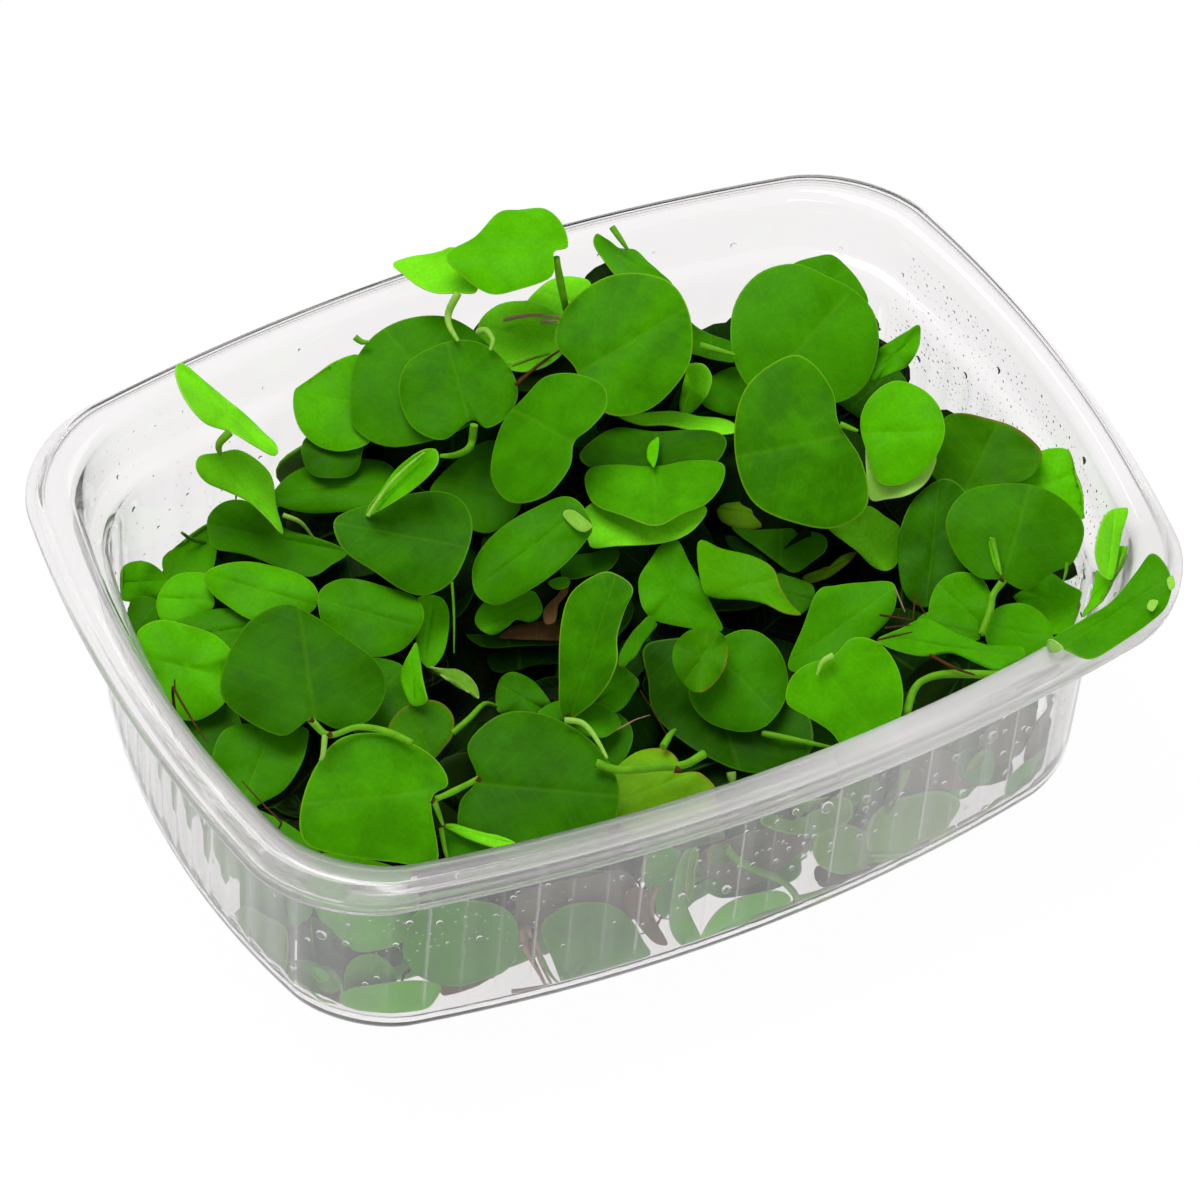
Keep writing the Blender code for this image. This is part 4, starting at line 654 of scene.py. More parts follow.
def pointAt(px, py, height):
    right, down = px - viewer["middlePx"], py - viewer["middlePx"]
    sight = -backAxis * viewer["focalPx"] + rightAxis * right - upAxis * down
    return eye + sight * (height - eye[2]) / sight[2]


def sightLines(spots):
    # from the viewer through these places of the picture
    spots = np.array(spots, float)
    return (np.outer(spots[:, 0] - viewer["middlePx"], rightAxis)
            - np.outer(spots[:, 1] - viewer["middlePx"], upAxis) - backAxis * viewer["focalPx"])


def pictureSpots(points):
    # where these points show in the picture, and how deep they lie
    depth = -((points - eye) @ backAxis)
    return (viewer["middlePx"] + viewer["focalPx"] * ((points - eye) @ rightAxis) / depth,
            viewer["middlePx"] - viewer["focalPx"] * ((points - eye) @ upAxis) / depth, depth)


def bent(part, half, angle):
    # a half width bent to an arc: how far each part of it lies out, and how far it rises
    turn = math.radians(angle)
    if abs(turn) < 1e-3:
        return part * half, part * 0
    return half / turn * np.sin(turn * part), half / turn * (1 - np.cos(turn * part))


def between(a, b, c, d, t):
    # the share t of the way from b to c, on a smooth curve through all four
    return 0.5 * (2 * b + (c - a) * t + (2 * a - 5 * b + 4 * c - d) * t ** 2 + (3 * b - a - 3 * c + d) * t ** 3)


def roundedOutline(outline, count):
    # the read points joined by a smooth closed curve through all of them
    t = np.arange(count) * len(outline) / count
    k = t.astype(int)
    t = (t - k)[:, None]
    return between(*(outline[(k + shift) % len(outline)] for shift in (-1, 0, 1, 2)), t)


def ovalOutline(turn, rings, lobe, point):
    # a leaf drawn by rule, its centre first: u across and v along it, with lobes beside its stalk
    offStalk = np.pi - np.abs(turn)
    lobes = (1 - np.exp(-(offStalk / heap["notchTurn"]) ** 2)) * np.maximum(-np.cos(turn), 0) ** 1.2
    taper = 1 - point * np.maximum(np.cos(turn), 0) ** 1.5
    u = np.concatenate([[0.0]] + [s * np.sin(turn) * taper for s in rings])
    v = np.concatenate([[0.0]] + [s * (np.cos(turn) - 2 * lobe * lobes) for s in rings])
    return u, v


def leafSurface(name, stalkPx, tipPx, width, slant, lean, height, sideCurl, endCurl, lobe, point,
                angles, rings, touch=None):
    # middle surface of a leaf, its centre first, with u across it and v along it
    read = readPoints(leafOutlines[name]) if name in leafOutlines else None
    centrePx = np.mean((stalkPx, tipPx) if read is None else read, axis=0)
    centre = pointAt(*centrePx, height)
    scale = -((centre - eye) @ backAxis) / viewer["focalPx"]
    slant, lean = math.radians(slant), math.radians(lean)
    face = np.array([math.sin(slant) * math.cos(lean), math.sin(slant) * math.sin(lean), math.cos(slant)])
    across, along = (tipPx[0] - stalkPx[0]) * scale, (stalkPx[1] - tipPx[1]) * scale
    rib = np.array([across, along, -(across * face[0] + along * face[1]) / face[2]])
    length = np.linalg.norm(rib)
    axes = np.stack([rightAxis, upAxis, backAxis])
    face, rib = face @ axes, rib / length @ axes
    side = np.cross(rib, face)
    turn = np.radians(np.array(angles, float))
    if read is not None:
        # each point of a read outline stays on its line of sight, however the leaf is curled
        outline = roundedOutline(read, len(turn)) - centrePx
        spots = centrePx + np.concatenate([[(0.0, 0.0)]] + [s * outline for s in rings])
        sights = sightLines(spots)
        points = eye + sights * ((centre - eye) @ face / (sights @ face))[:, None]
        x, y = (points - points[0]) @ side, (points - points[0]) @ rib
        u, v = x / np.abs(x).max(), y / np.abs(y).max()
        sideRise, endRise = bent(u, np.abs(x).max(), sideCurl)[1], bent(v, np.abs(y).max(), endCurl)[1]
        towards = -sights / np.linalg.norm(sights, axis=1)[:, None]
        grown = towards / np.maximum(towards @ face, heap["minFacing"])[:, None]
    else:
        u, v = ovalOutline(turn, rings, lobe, point)
        x, sideRise = bent(u, width / 2, sideCurl)
        y, endRise = bent(v, length / 2, endCurl)
        points = centre + np.outer(x, side) + np.outer(y, rib)
        grown = np.tile(face, (len(points), 1))
    rise = sideRise + endRise
    rise = rise - rise.mean()
    if touch:
        amount, waves, start = touch["wave"]
        radial = np.concatenate([[0.0]] + [np.full(len(turn), s) for s in rings])
        whole = np.concatenate([[0.0]] + [turn for s in rings])
        rise = rise + amount * radial ** 2.2 * np.sin(waves * whole + start)
        rise = rise - touch["groove"] * np.exp(-(u / 0.085) ** 2) * (1 - 0.5 * np.abs(v))
    return keepInside(points + grown * rise[:, None]), u, v


def sheetFaces(count, ringCount):
    # faces of a leaf's middle surface, from its centre out
    faces = [(0, 1 + i, 1 + (i + 1) % count) for i in range(count)]
    for level in range(ringCount - 1):
        near, far = 1 + level * count, 1 + (level + 1) * count
        for i in range(count):
            j = (i + 1) % count
            faces.append((near + i, far + i, far + j))
            faces.append((near + i, far + j, near + j))
    return faces


def sheetNormals(points, faces):
    corners = points[np.array(faces)]
    facing = np.cross(corners[:, 1] - corners[:, 0], corners[:, 2] - corners[:, 0])
    normals = np.zeros_like(points)
    for corner in range(3):
        np.add.at(normals, np.array(faces)[:, corner], facing)
    return normals / (np.linalg.norm(normals, axis=1)[:, None] + 1e-12)


def halfThickness(edge, form):
    # full over the blade, thinner from nine tenths of the way to its edge
    return np.interp(edge, (0, 0.9, 1.0), (form["thickness"], form["thickness"], form["edgeThickness"])) / 2


def thickened(points, faces, count, half):
    # a closed blade from a middle surface, this half thickness to each side
    offset = sheetNormals(points, faces) * np.reshape(half, (-1, 1))
    under = len(points)
    both = np.concatenate([points + offset, points - offset])
    closed = list(faces) + [(c + under, b + under, a + under) for a, b, c in faces]
    rim = under - count
    for i in range(count):
        a, b = rim + i, rim + (i + 1) % count
        closed.append((a, a + under, b + under))
        closed.append((a, b + under, b))
    return both, closed


def smoothRoute(route, stepsPerSpan):
    # a smooth curve through the route's own points
    route = np.array(route)
    padded = np.vstack([2 * route[0] - route[1], route, 2 * route[-1] - route[-2]])
    points = []
    for step in np.linspace(0, len(route) - 1, stepsPerSpan * (len(route) - 1) + 1):
        k = min(int(step), len(route) - 2)
        points.append(between(*padded[k:k + 4], step - k))
    return np.array(points)


def tube(path, radii, sides):
    turn = 2 * np.pi * np.arange(sides) / sides
    rings = []
    for i, spot in enumerate(path):
        run = path[min(i + 1, len(path) - 1)] - path[max(i - 1, 0)]
        run = run / np.linalg.norm(run)
        side = np.cross(run, backAxis)
        side = side / np.linalg.norm(side)
        ring = np.outer(np.cos(turn), side) + np.outer(np.sin(turn), np.cross(run, side))
        rings.append(spot + radii[i] * ring)
    return loft(rings, path[0], path[-1])


def triangles(faces):
    return np.array([(f[0], f[i], f[i + 1]) for f in faces for i in range(1, len(f) - 1)])


class Heap:
    # nearest surface laid so far in each small cell of the picture

    def __init__(self):
        self.nearest = np.full((heap["cells"], heap["cells"]), np.inf)

    def samples(self, points, faces):
        n = heap["samplesPerEdge"]
        mix = np.array([(i, j, n - i - j) for i in range(n + 1) for j in range(n + 1 - i)]) / n
        px, py, depth = pictureSpots(np.einsum("bk,fkd->fbd", mix, points[triangles(faces)]).reshape(-1, 3))
        return (py / heap["cellPx"]).astype(int), (px / heap["cellPx"]).astype(int), depth

    def lay(self, points, faces):
        # how far towards the viewer this piece goes to clear those already laid
        rows, columns, depth = self.samples(points, faces)
        framed = np.pad(self.nearest, 1, constant_values=np.inf)
        size = heap["cells"]
        around = np.min([framed[i:i + size, j:j + size] for i in range(3) for j in range(3)], axis=0)
        lift = max(0.0, float(np.max(depth + heap["layerGap"] - around[rows, columns])))
        middle = points.mean(axis=0)
        shift = (eye - middle) / np.linalg.norm(eye - middle) * lift
        rows, columns, depth = self.samples(points + shift, faces)
        np.minimum.at(self.nearest, (rows, columns), depth)
        return shift


def waxyLeafMaterial(name, deepHex, mainHex, marginAndHighlightHex, marginReach=0.03, marginStrength=0.4, underHex="#6AA830"):
    # living leaf blade, waxed by nature: smooth, softly glossy, finely mottled, faint veins, thin pale edge that is
    # partly a painted highlight
    material, tree, shader = newMaterial(name)
    place = addNode(tree, "ShaderNodeTexCoord").outputs["Object"]
    # how light the leaf is, how near its edge, and whether it is its underside
    tone, edge, under = (addNode(tree, "ShaderNodeAttribute", attribute_name=label).outputs["Fac"]
                         for label in ("tone", "edge", "under"))
    flat = addNode(tree, "ShaderNodeUVMap", uv_map="leafUv")
    across, up, _ = addNode(tree, "ShaderNodeSeparateXYZ", {"Vector": flat}).outputs
    # paler and darker patches some 4 mm wide, and leaf cells, drawn 0.35 mm wide so that they show
    patches = addNode(tree, "ShaderNodeTexNoise",
                      {"Vector": place, "Scale": 260.0, "Detail": 3.0, "Roughness": 0.55})
    mottle = addNode(tree, "ShaderNodeTexNoise", {"Vector": place, "Scale": 2800.0, "Detail": 2.0})
    blend = addNode(tree, "ShaderNodeMapRange",
                    {"Value": patches, "From Min": 0.32, "From Max": 0.68, "To Min": 0.36, "To Max": 0.64})
    shifted = addNode(tree, "ShaderNodeMath", {0: blend, 1: tone}, operation="ADD", use_clamp=True)
    base = addNode(tree, "ShaderNodeMix", {"Factor": shifted, "A": deepHex, "B": mainHex}, data_type="RGBA")
    # side veins run up from the midrib, about 1.3 mm apart
    offMiddle = addNode(tree, "ShaderNodeMath", {0: across}, operation="ABSOLUTE")
    slope = addNode(tree, "ShaderNodeMath", {0: offMiddle, 1: 0.62}, operation="MULTIPLY")
    rank = addNode(tree, "ShaderNodeMath", {0: up, 1: slope}, operation="SUBTRACT")
    turns = addNode(tree, "ShaderNodeMath", {0: rank, 1: 26.0}, operation="MULTIPLY")
    beat = addNode(tree, "ShaderNodeMath", {0: turns}, operation="COSINE")
    sideVeins = addNode(tree, "ShaderNodeMapRange", {"Value": beat, "From Min": 0.86, "To Max": 0.35},
                        interpolation_type="SMOOTHSTEP")
    midrib = addNode(tree, "ShaderNodeMapRange", {"Value": offMiddle, "From Min": 0.05, "From Max": 0.0},
                     interpolation_type="SMOOTHSTEP")
    veins = addNode(tree, "ShaderNodeMath", {0: sideVeins, 1: midrib}, operation="MAXIMUM")
    veinAmount = addNode(tree, "ShaderNodeMath", {0: veins, 1: 0.07}, operation="MULTIPLY")
    veined = addNode(tree, "ShaderNodeMix", {"Factor": veinAmount, "A": base, "B": "#8ED02C"}, data_type="RGBA")
    fine = addNode(tree, "ShaderNodeMapRange",
                   {"Value": mottle, "From Min": 0.3, "From Max": 0.7, "To Min": 0.93, "To Max": 1.07})
    mottled = addNode(tree, "ShaderNodeMix", {"Factor": 1.0, "A": veined, "B": fine},
                      data_type="RGBA", blend_type="MULTIPLY")
    turned = addNode(tree, "ShaderNodeMix", {"Factor": under, "A": mottled, "B": underHex}, data_type="RGBA")
    # the pale edge line is partly a painted highlight along the leaf's edge; on reddened skins it is their own
    # reddish edge
    rim = addNode(tree, "ShaderNodeMapRange",
                  {"Value": edge, "From Min": 1.0 - marginReach, "To Max": marginStrength},
                  interpolation_type="SMOOTHSTEP")
    rimmed = addNode(tree, "ShaderNodeMix", {"Factor": rim, "A": turned, "B": marginAndHighlightHex}, data_type="RGBA")
    gloss = addNode(tree, "ShaderNodeMapRange",
                    {"Value": patches, "From Min": 0.3, "From Max": 0.7, "To Min": 0.34, "To Max": 0.46})
    relief = addNode(tree, "ShaderNodeMath", {0: veins, 1: -0.8, 2: mottle}, operation="MULTIPLY_ADD")
    bump = addNode(tree, "ShaderNodeBump", {"Strength": 0.12, "Distance": 0.0001, "Height": relief})
    setInputs(shader, {"Base Color": rimmed, "Roughness": gloss, "IOR": 1.42, "Specular IOR Level": 0.04,
                       "Normal": bump})
    return material


def stalkMaterial(name, paleHex, deepHex, roughness):
    # juicy stalk or root, as grown: smooth and pale, with streaks about 0.8 mm long
    material, tree, shader = newMaterial(name)
    place = addNode(tree, "ShaderNodeTexCoord").outputs["Object"]
    streaks = addNode(tree, "ShaderNodeTexNoise", {"Vector": place, "Scale": 1200.0, "Detail": 3.0})
    colour = addNode(tree, "ShaderNodeMix", {"Factor": streaks, "A": deepHex, "B": paleHex}, data_type="RGBA")
    bump = addNode(tree, "ShaderNodeBump", {"Strength": 0.2, "Distance": 0.0001, "Height": streaks})
    setInputs(shader, {"Base Color": colour, "Roughness": roughness, "Specular IOR Level": 0.12, "Normal": bump})
    return material


# sunlit is a lighter copy of the leaf skin, painted light for leaves that lie in shade; deep is a near-black copy,
# painted shade for leaves deep in the heap
leafSkins = {"sunlit": waxyLeafMaterial("waxyLeafPaintedSunlit", "#4C9C00", "#84F41C", "#C8F470"),
             "bright": waxyLeafMaterial("waxyLeafBright", "#347800", "#64D200", "#A8E030"),
             "mid": waxyLeafMaterial("waxyLeafMid", "#265E00", "#50AE00", "#86C82C"),
             "dark": waxyLeafMaterial("waxyLeafDark", "#153A00", "#429200", "#6CB01E"),
             "deep": waxyLeafMaterial("waxyLeafPaintedShade", "#040A00", "#184000", "#30600A", underHex="#182C06"),
             "redEdge": waxyLeafMaterial("waxyLeafRedEdged", "#1E5000", "#54A800", "#A8642C", 0.10, 0.4),
             "pale": waxyLeafMaterial("waxyLeafPale", "#5C9416", "#9CDC50", "#CDE890", 0.10),
             "olive": waxyLeafMaterial("waxyLeafReddened", "#4C7E04", "#8CD018", "#A0602C", 0.14, 0.5),
             "brown": waxyLeafMaterial("witheredLeaf", "#33200E", "#7A5A38", "#8C6A44"),
             "greyed": waxyLeafMaterial("wetRottingLeaf", "#3C3C34", "#84846C", "#8C8C78", underHex="#70705C")}
greenStalk = stalkMaterial("juicyGreenStalk", "#7CC41E", "#4C9408", 0.5)
paleStalk = stalkMaterial("paleGreenStalk", "#B0E060", "#70B42C", 0.5)
brownRoot = stalkMaterial("driedBrownRoot", "#6A4220", "#301808", 0.7)
pinkRoot = stalkMaterial("palePinkRoot", "#C8A48C", "#86624C", 0.6)


# leaves whose skin isn't that of their colour group: most take a lighter skin, painted light for leaves that lie in
# shade, and redEdge gives a reddish edge
otherSkins = {"leaf_red_edge": "redEdge", "leaf_red_round": "redEdge", "leaf_right_curled": "redEdge",
              "leaf_folded_right": "redEdge", "r1": "bright", "leaf_half_lower": "sunlit", "n1": "sunlit",
              "u1": "sunlit", "h1": "sunlit", "i1": "sunlit", "v52": "sunlit", "rr": "bright", "g61": "bright",
              "q4": "pale", "z1": "mid", "d1": "bright", "leaf_tall_left": "sunlit", "leaf_standing_left": "sunlit",
              "leaf_standing_right": "sunlit", "leaf_pointed": "sunlit", "t73": "sunlit", "x1": "sunlit"}
# the side, right and down in the picture, where a leaf's reddish edge shows
blushSides = {"leaf_red_edge": (1.0, 0.7), "leaf_right_curled": (0.6, -1.0), "leaf_folded_right": (1.0, 0.1),
              "leaf_olive_front": (1.0, -0.8), "leaf_right_tall": (-0.3, -1.0)}
# how light or dark a leaf is within its skin: partly its own tone, partly painted light, raised for leaves that lie
# in shade under others
leafTones = {"leaf_front_bright": -0.24, "leaf_kidney_right": -0.05, "leaf_big_middle": -0.43,
             "leaf_round_back": -0.3, "leaf_round_bright": 0.1, "leaf_top": 0.18, "leaf_tall_left": 0.28,
             "leaf_left_bright": 0.12, "leaf_heart": -0.28, "leaf_bean": 0.02, "leaf_half_moon": -0.14,
             "leaf_kidney_left": -0.12, "leaf_oval_middle": 0.0, "leaf_round_middle": -0.08, "leaf_round_far": 0.12,
             "leaf_front_big": 0.03, "leaf_big_left": 0.04, "leaf_right_big": 0.26, "leaf_under_half": -0.05,
             "leaf_back_dark": 0.35, "leaf_right_curled": -0.1, "leaf_glossy": 0.36, "leaf_back_left": -0.02,
             "leaf_olive_front": -0.03, "leaf_red_round": -0.08, "leaf_red_edge": -0.02, "r1": 0.1,
             "leaf_pale_under": 0.5, "leaf_wavy": 0.34, "leaf_over_rim": 0.12, "leaf_slant": 0.2,
             "leaf_folded_left": 0.34, "leaf_folded_right": 0.45, "leaf_under_middle": -0.17,
             "leaf_right_back": 0.46, "leaf_standing_left": 0.26, "leaf_standing_right": 0.18,
             "leaf_corner_hanging": 0.2, "leaf_tall_middle": -0.43, "leaf_right_tall": -0.34,
             "leaf_front_left": 0.45, "leaf_right_front": 0.3, "leaf_pointed": 0.04, "leaf_rolled": 0.12,
             "leaf_top_back": 0.2, "leaf_back_point": 0.38, "leaf_left_dark": 0.4, "leaf_far_left": 0.5, "x2": 0.4,
             "z1": 0.2, "s2": 0.14, "b3": 0.12, "s62": 0.1, "z2": 0.2, "t73": 0.17, "rr": 0.33, "g64": 0.5,
             "i1": 0.45, "h1": 0.18, "g61": 0.45, "leaf_half_lower": 0.33, "n1": 0.45, "u1": 0.23, "v52": 0.45,
             "d1": 0.5, "q1": 0.36, "o1": 0.4, "q4": -0.2}


def makeLeaf(name, shape, colour, hasSolid, shift, chance):
    # the fine blade, with ripples, a groove along its midrib and what its skin reads
    touch = {"groove": leafForm["midribGroove"] * chance.uniform(0.5, 1.2),
             "wave": (leafForm["ripple"] * chance.uniform(0.5, 1.3), int(chance.integers(3, 6)),
                      chance.uniform(0, 6.28))}
    count = leafForm["outlinePoints"]
    angles = 180 - 360 * np.arange(count) / count
    rings = leafForm["rings"]
    middle, u, v = leafSurface(name, *shape, angles, rings, touch)
    middle = middle + shift
    faces = sheetFaces(count, len(rings))
    edge = np.concatenate([[0.0], np.repeat(rings, count)])
    points, closed = thickened(middle, faces, count, halfThickness(edge, leafForm))
    piece = addPiece(name + "_blade", points, closed, leafSkins[otherSkins.get(name, colour)])
    margin = np.tile(edge, 2)
    if name in blushSides:
        px, py, _ = pictureSpots(points)
        px, py = px - px.mean(), py - py.mean()
        right, down = blushSides[name]
        facing = (px * right + py * down) / (np.hypot(px, py) * np.hypot(right, down) + 1e-9)
        plain = leafForm["plainMargin"]
        margin = margin * (plain + (1 - plain) * np.clip(facing * leafForm["blushReach"], 0, 1))
    tone = leafTones.get(name, chance.uniform(-0.15, 0.15))
    storeValues(piece, {"edge": margin, "under": np.repeat([0.0, 1.0], len(middle)),
                        "tone": np.full(len(points), tone)})
    storeUv(piece, np.tile(np.stack([u, v], 1), (2, 1)))
    handOver(piece, name if hasSolid else None)


def makeStem(name, route, radius, shift, chance):
    path = smoothRoute([pointAt(*spot) for spot in route], 6) + shift
    along = np.linspace(0, 1, len(path))
    radii = radius * (1 + 0.08 * np.sin(along * 9 + chance.uniform(0, 6)) + 0.12 * (2 * along - 1) ** 4)
    points, faces = tube(path, radii, 12)
    piece = addPiece(name + "_stalk", points, faces, greenStalk)
    handOver(piece, name)


def layAll():
    laid = Heap()
    for number, (name, *values) in enumerate(layers):
        chance = np.random.default_rng(100 + number)
        if len(values) == 3:
            route, radius, _ = values
            path = smoothRoute([pointAt(*spot) for spot in route], 2)
            points, faces = tube(path, np.full(len(path), radius), 6)
            makeStem(name, route, radius, laid.lay(points, faces), chance)
        else:
            *shape, colour, hasSolid = values
            coarse, _, _ = leafSurface(name, *shape, heap["coarseAngles"], heap["coarseRings"])
            coarseFaces = sheetFaces(len(heap["coarseAngles"]), len(heap["coarseRings"]))
            points, faces = thickened(coarse, coarseFaces, len(heap["coarseAngles"]), heap["thickness"] / 2)
            shift = laid.lay(points, faces)
            makeLeaf(name, shape, colour, hasSolid, shift, chance)
            if hasSolid:
                low, high = (np.array(corner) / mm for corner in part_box(name))
                off = ((points + shift).min(axis=0) + (points + shift).max(axis=0) - low - high) / 2
                if np.abs(off).max() > 0.05:
                    print(name, "is off its solid by", off.round(2))
    return laid.nearest


nearest = layAll()
print("leaves and stems are laid")


# the dark mass under the leaves, painted shade for the depths of the heap, and the filler leaves on its top and
# along the walls, whose angles from frontFrom to frontTo face the viewer
undergrowth = {"coreGap": 3.6, "coreDrop": 2.4, "coreFloor": 1.6, "spokes": 72, "coreRings": 12,
               "coreSides": ((1.6, 6.5), (3.5, 5.0), (6.0, 2.2)), "coreBehind": 0.8, "coreLowest": 6.5,
               "sinkStep": 1.2, "gapSink": 6.0, "edgeHeight": 18.0, "frontFrom": -2.75, "frontTo": -0.2,
               "wallHeights": (2.6, 6.0, 10.0, 14.0, 18.0, 21.5), "topGap": 1.6, "topDrop": 0.4,
               "edgeGap": 1.7, "wallGap": 2.6, "overEdge": 1.5, "topRoom": 0.7, "wallRoom": 1.5, "least": 0.95}
fillers = {"filler_leaves_top": {"Spacing": 4.6 * mm, "Density": 90000.0, "Small": 7.0, "Large": 11.0,
                                 "Tilt": 0.55, "Flip": 0.15, "Dim": -0.5, "Light": 0.5, "Seed": 4},
           "filler_leaves_wall": {"Spacing": 6.2 * mm, "Density": 60000.0, "Small": 8.0, "Large": 13.0,
                                  "Tilt": 0.16, "Flip": 0.4, "Dim": -0.4, "Light": 0.5, "Seed": 8}}
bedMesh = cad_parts["plant_bed"].data
bedSurface = BVHTree.FromPolygons([tuple(v.co / mm) for v in bedMesh.vertices],
                                  [tuple(p.vertices) for p in bedMesh.polygons])


def bedHeight(x, y, missing=12.0):
    hit = bedSurface.ray_cast(Vector((x, y, 60.0)), Vector((0, 0, -1)))
    return hit[0].z if hit[0] is not None else missing


def wallRing(angles, height, gap):
    radii = outlineRadii(angles, float(insideInset(height)) + gap)
    return np.stack([radii * np.cos(angles), radii * np.sin(angles), np.full(len(angles), float(height))], 1)


def bandFace(count, row, i):
    # the face from place i of a ring of this many points to the next place and the next ring
    j = (i + 1) % count
    return row * count + i, row * count + j, (row + 1) * count + j, (row + 1) * count + i


def bedLevels(gap, drop):
    # rings over the top of the plants, from the wall to the middle
    angles = 2 * np.pi * np.arange(undergrowth["spokes"]) / undergrowth["spokes"]
    edge = wallRing(angles, undergrowth["edgeHeight"], gap)
    levels = []
    for step in range(undergrowth["coreRings"], 0, -1):
        level = edge * (step / undergrowth["coreRings"])
        level[:, 2] = [bedHeight(x, y) - drop for x, y, _ in level]
        levels.append(level)
    return angles, levels


def darkMassMaterial():
    # leaves, stalks and roots deep in the heap, their shade painted in as near-black green, with brown flecks, no
    # single surface
    material, tree, shader = newMaterial("buriedPlantsPaintedShade")
    place = addNode(tree, "ShaderNodeTexCoord").outputs["Object"]
    # leaf-sized patches, 5 mm across, and flecks like roots and stalks, about 0.8 mm wide
    leaves = addNode(tree, "ShaderNodeTexVoronoi", {"Vector": place, "Scale": 200.0, "Randomness": 1.0})
    flecks = addNode(tree, "ShaderNodeTexNoise", {"Vector": place, "Scale": 1200.0, "Detail": 4.0})
    patch = addNode(tree, "ShaderNodeMapRange",
                    {"Value": leaves, "From Max": 0.8, "To Min": 1.0, "To Max": 0.0})
    # the near-black greens are painted shade of the heap's depths
    green = addNode(tree, "ShaderNodeMix", {"Factor": patch, "A": "#061002", "B": "#123604"}, data_type="RGBA")
    brown = addNode(tree, "ShaderNodeMapRange",
                    {"Value": flecks, "From Min": 0.56, "From Max": 0.66, "To Max": 0.6})
    colour = addNode(tree, "ShaderNodeMix", {"Factor": brown, "A": green, "B": "#2E1C0C"}, data_type="RGBA")
    bump = addNode(tree, "ShaderNodeBump", {"Strength": 0.7, "Distance": 0.0008, "Height": leaves})
    setInputs(shader, {"Base Color": colour, "Roughness": 0.62, "Specular IOR Level": 0.04, "Normal": bump})
    return material


# where the heap shows in the picture, and the dark gaps in it that no filler leaf closes
heapShows = readPoints(
    "95,600 102,580 120,562 162,563 165,525 207,508 213,487 200,453 272,467 296,460 300,440 294,405 300,363 355,357 "
    "386,326 441,315 475,329 482,312 517,301 544,291 579,277 599,281 597,236 611,233 649,260 670,281 690,301 "
    "694,329 728,332 731,308 745,281 787,264 828,255 866,281 874,315 879,346 920,326 911,363 893,370 883,384 "
    "924,391 945,415 993,419 1038,446 1076,453 1093,481 1086,515 1093,536 1076,570 1090,598 1110,563 1135,640 "
    "1150,1150 0,1150 120,760 135,700 112,640")
heapGaps = [readPoints(text) for text in ("440,640 560,612 568,668 505,678 500,712 425,718 420,665",
                                          "785,532 850,538 905,600 890,628 840,602 788,602")]


def insideShape(px, py, shape):
    within = np.zeros(px.shape, bool)
    for (x0, y0), (x1, y1) in zip(shape, np.roll(shape, -1, axis=0)):
        crosses = (y0 > py) != (y1 > py)
        within ^= crosses & (px < x0 + (py - y0) * (x1 - x0) / (y1 - y0 if y1 != y0 else 1.0))
    return within


def deepestLaid(px, py, reach):
    # depth of the farthest leaf that shows within this many cells of each place, or -inf
    last = heap["cells"] - 1 - reach
    rows, columns = (np.clip(p / heap["cellPx"], reach, last).astype(int) for p in (py, px))
    deepest = np.full(px.shape, -np.inf)
    for i in range(-reach, reach + 1):
        for j in range(-reach, reach + 1):
            laid = nearest[rows + i, columns + j]
            deepest = np.maximum(deepest, np.where(np.isfinite(laid), laid, -np.inf))
    return deepest


def makeCore():
    u = undergrowth
    angles, levels = bedLevels(u["coreGap"], u["coreDrop"])
    sides = [wallRing(angles, height, u["coreGap"] + extra) for height, extra in u["coreSides"]]
    for level in levels:
        # lowered where it would hide a leaf that shows, where it would show above or to the right of the
        # heap, and in the dark gaps
        for _ in range(3):
            px, py, depth = pictureSpots(level)
            level[:, 2] -= np.maximum(deepestLaid(px, py, 6) + u["coreBehind"] - depth, 0) / backAxis[2]
        for _ in range(9):
            px, py, depth = pictureSpots(level)
            covered = insideShape(px, py - 10, heapShows) & insideShape(px + 12, py - 4, heapShows)
            level[:, 2] -= u["sinkStep"] * ~covered
        for gap in heapGaps:
            level[:, 2] -= u["gapSink"] * insideShape(px, py, gap)
        level[:, 2] = np.maximum(level[:, 2], u["coreLowest"])
    points, faces = loft(sides + levels, (0, 0, u["coreFloor"]), (0, 0, levels[-1][:, 2].mean()))
    piece = addPiece("buried_plants", points, faces, darkMassMaterial())
    handOver(piece, "plant_bed")


fillerForm = {"outlinePoints": 22, "rings": (0.45, 0.8, 1.0), "thickness": 0.26, "behind": 0.4,
              "leastOnHeap": 0.9, "mostInGap": 0.25}


def fillerBlade(name, widthShare, lobe, point, sideCurl, endCurl, chance):
    # one leaf, 1 mm long, its stalk end at -Y and its face up
    count = fillerForm["outlinePoints"]
    turn = np.radians(180 - 360 * np.arange(count) / count)
    u, v = ovalOutline(turn, fillerForm["rings"], lobe, point)
    x, sideRise = bent(u, widthShare / 2, sideCurl)
    y, endRise = bent(v, 0.5, endCurl)
    edge = np.concatenate([[0.0], np.repeat(fillerForm["rings"], count)])
    whole = np.concatenate([[0.0], np.tile(turn, len(fillerForm["rings"]))])
    rise = sideRise + endRise + 0.03 * edge ** 2 * np.sin(3 * whole + chance.uniform(0, 6))
    middle = np.stack([x, y, rise - rise.mean()], 1)
    faces = sheetFaces(count, len(fillerForm["rings"]))
    points, closed = thickened(middle, faces, count, np.full(len(middle), fillerForm["thickness"] / 20))
    blade = addPiece(name, points, closed, None)
    storeValues(blade, {"edge": np.tile(edge, 2), "under": np.repeat([0.0, 1.0], len(middle))})
    storeUv(blade, np.tile(np.stack([u, v], 1), (2, 1)))
    scene.collection.objects.unlink(blade)
    return blade


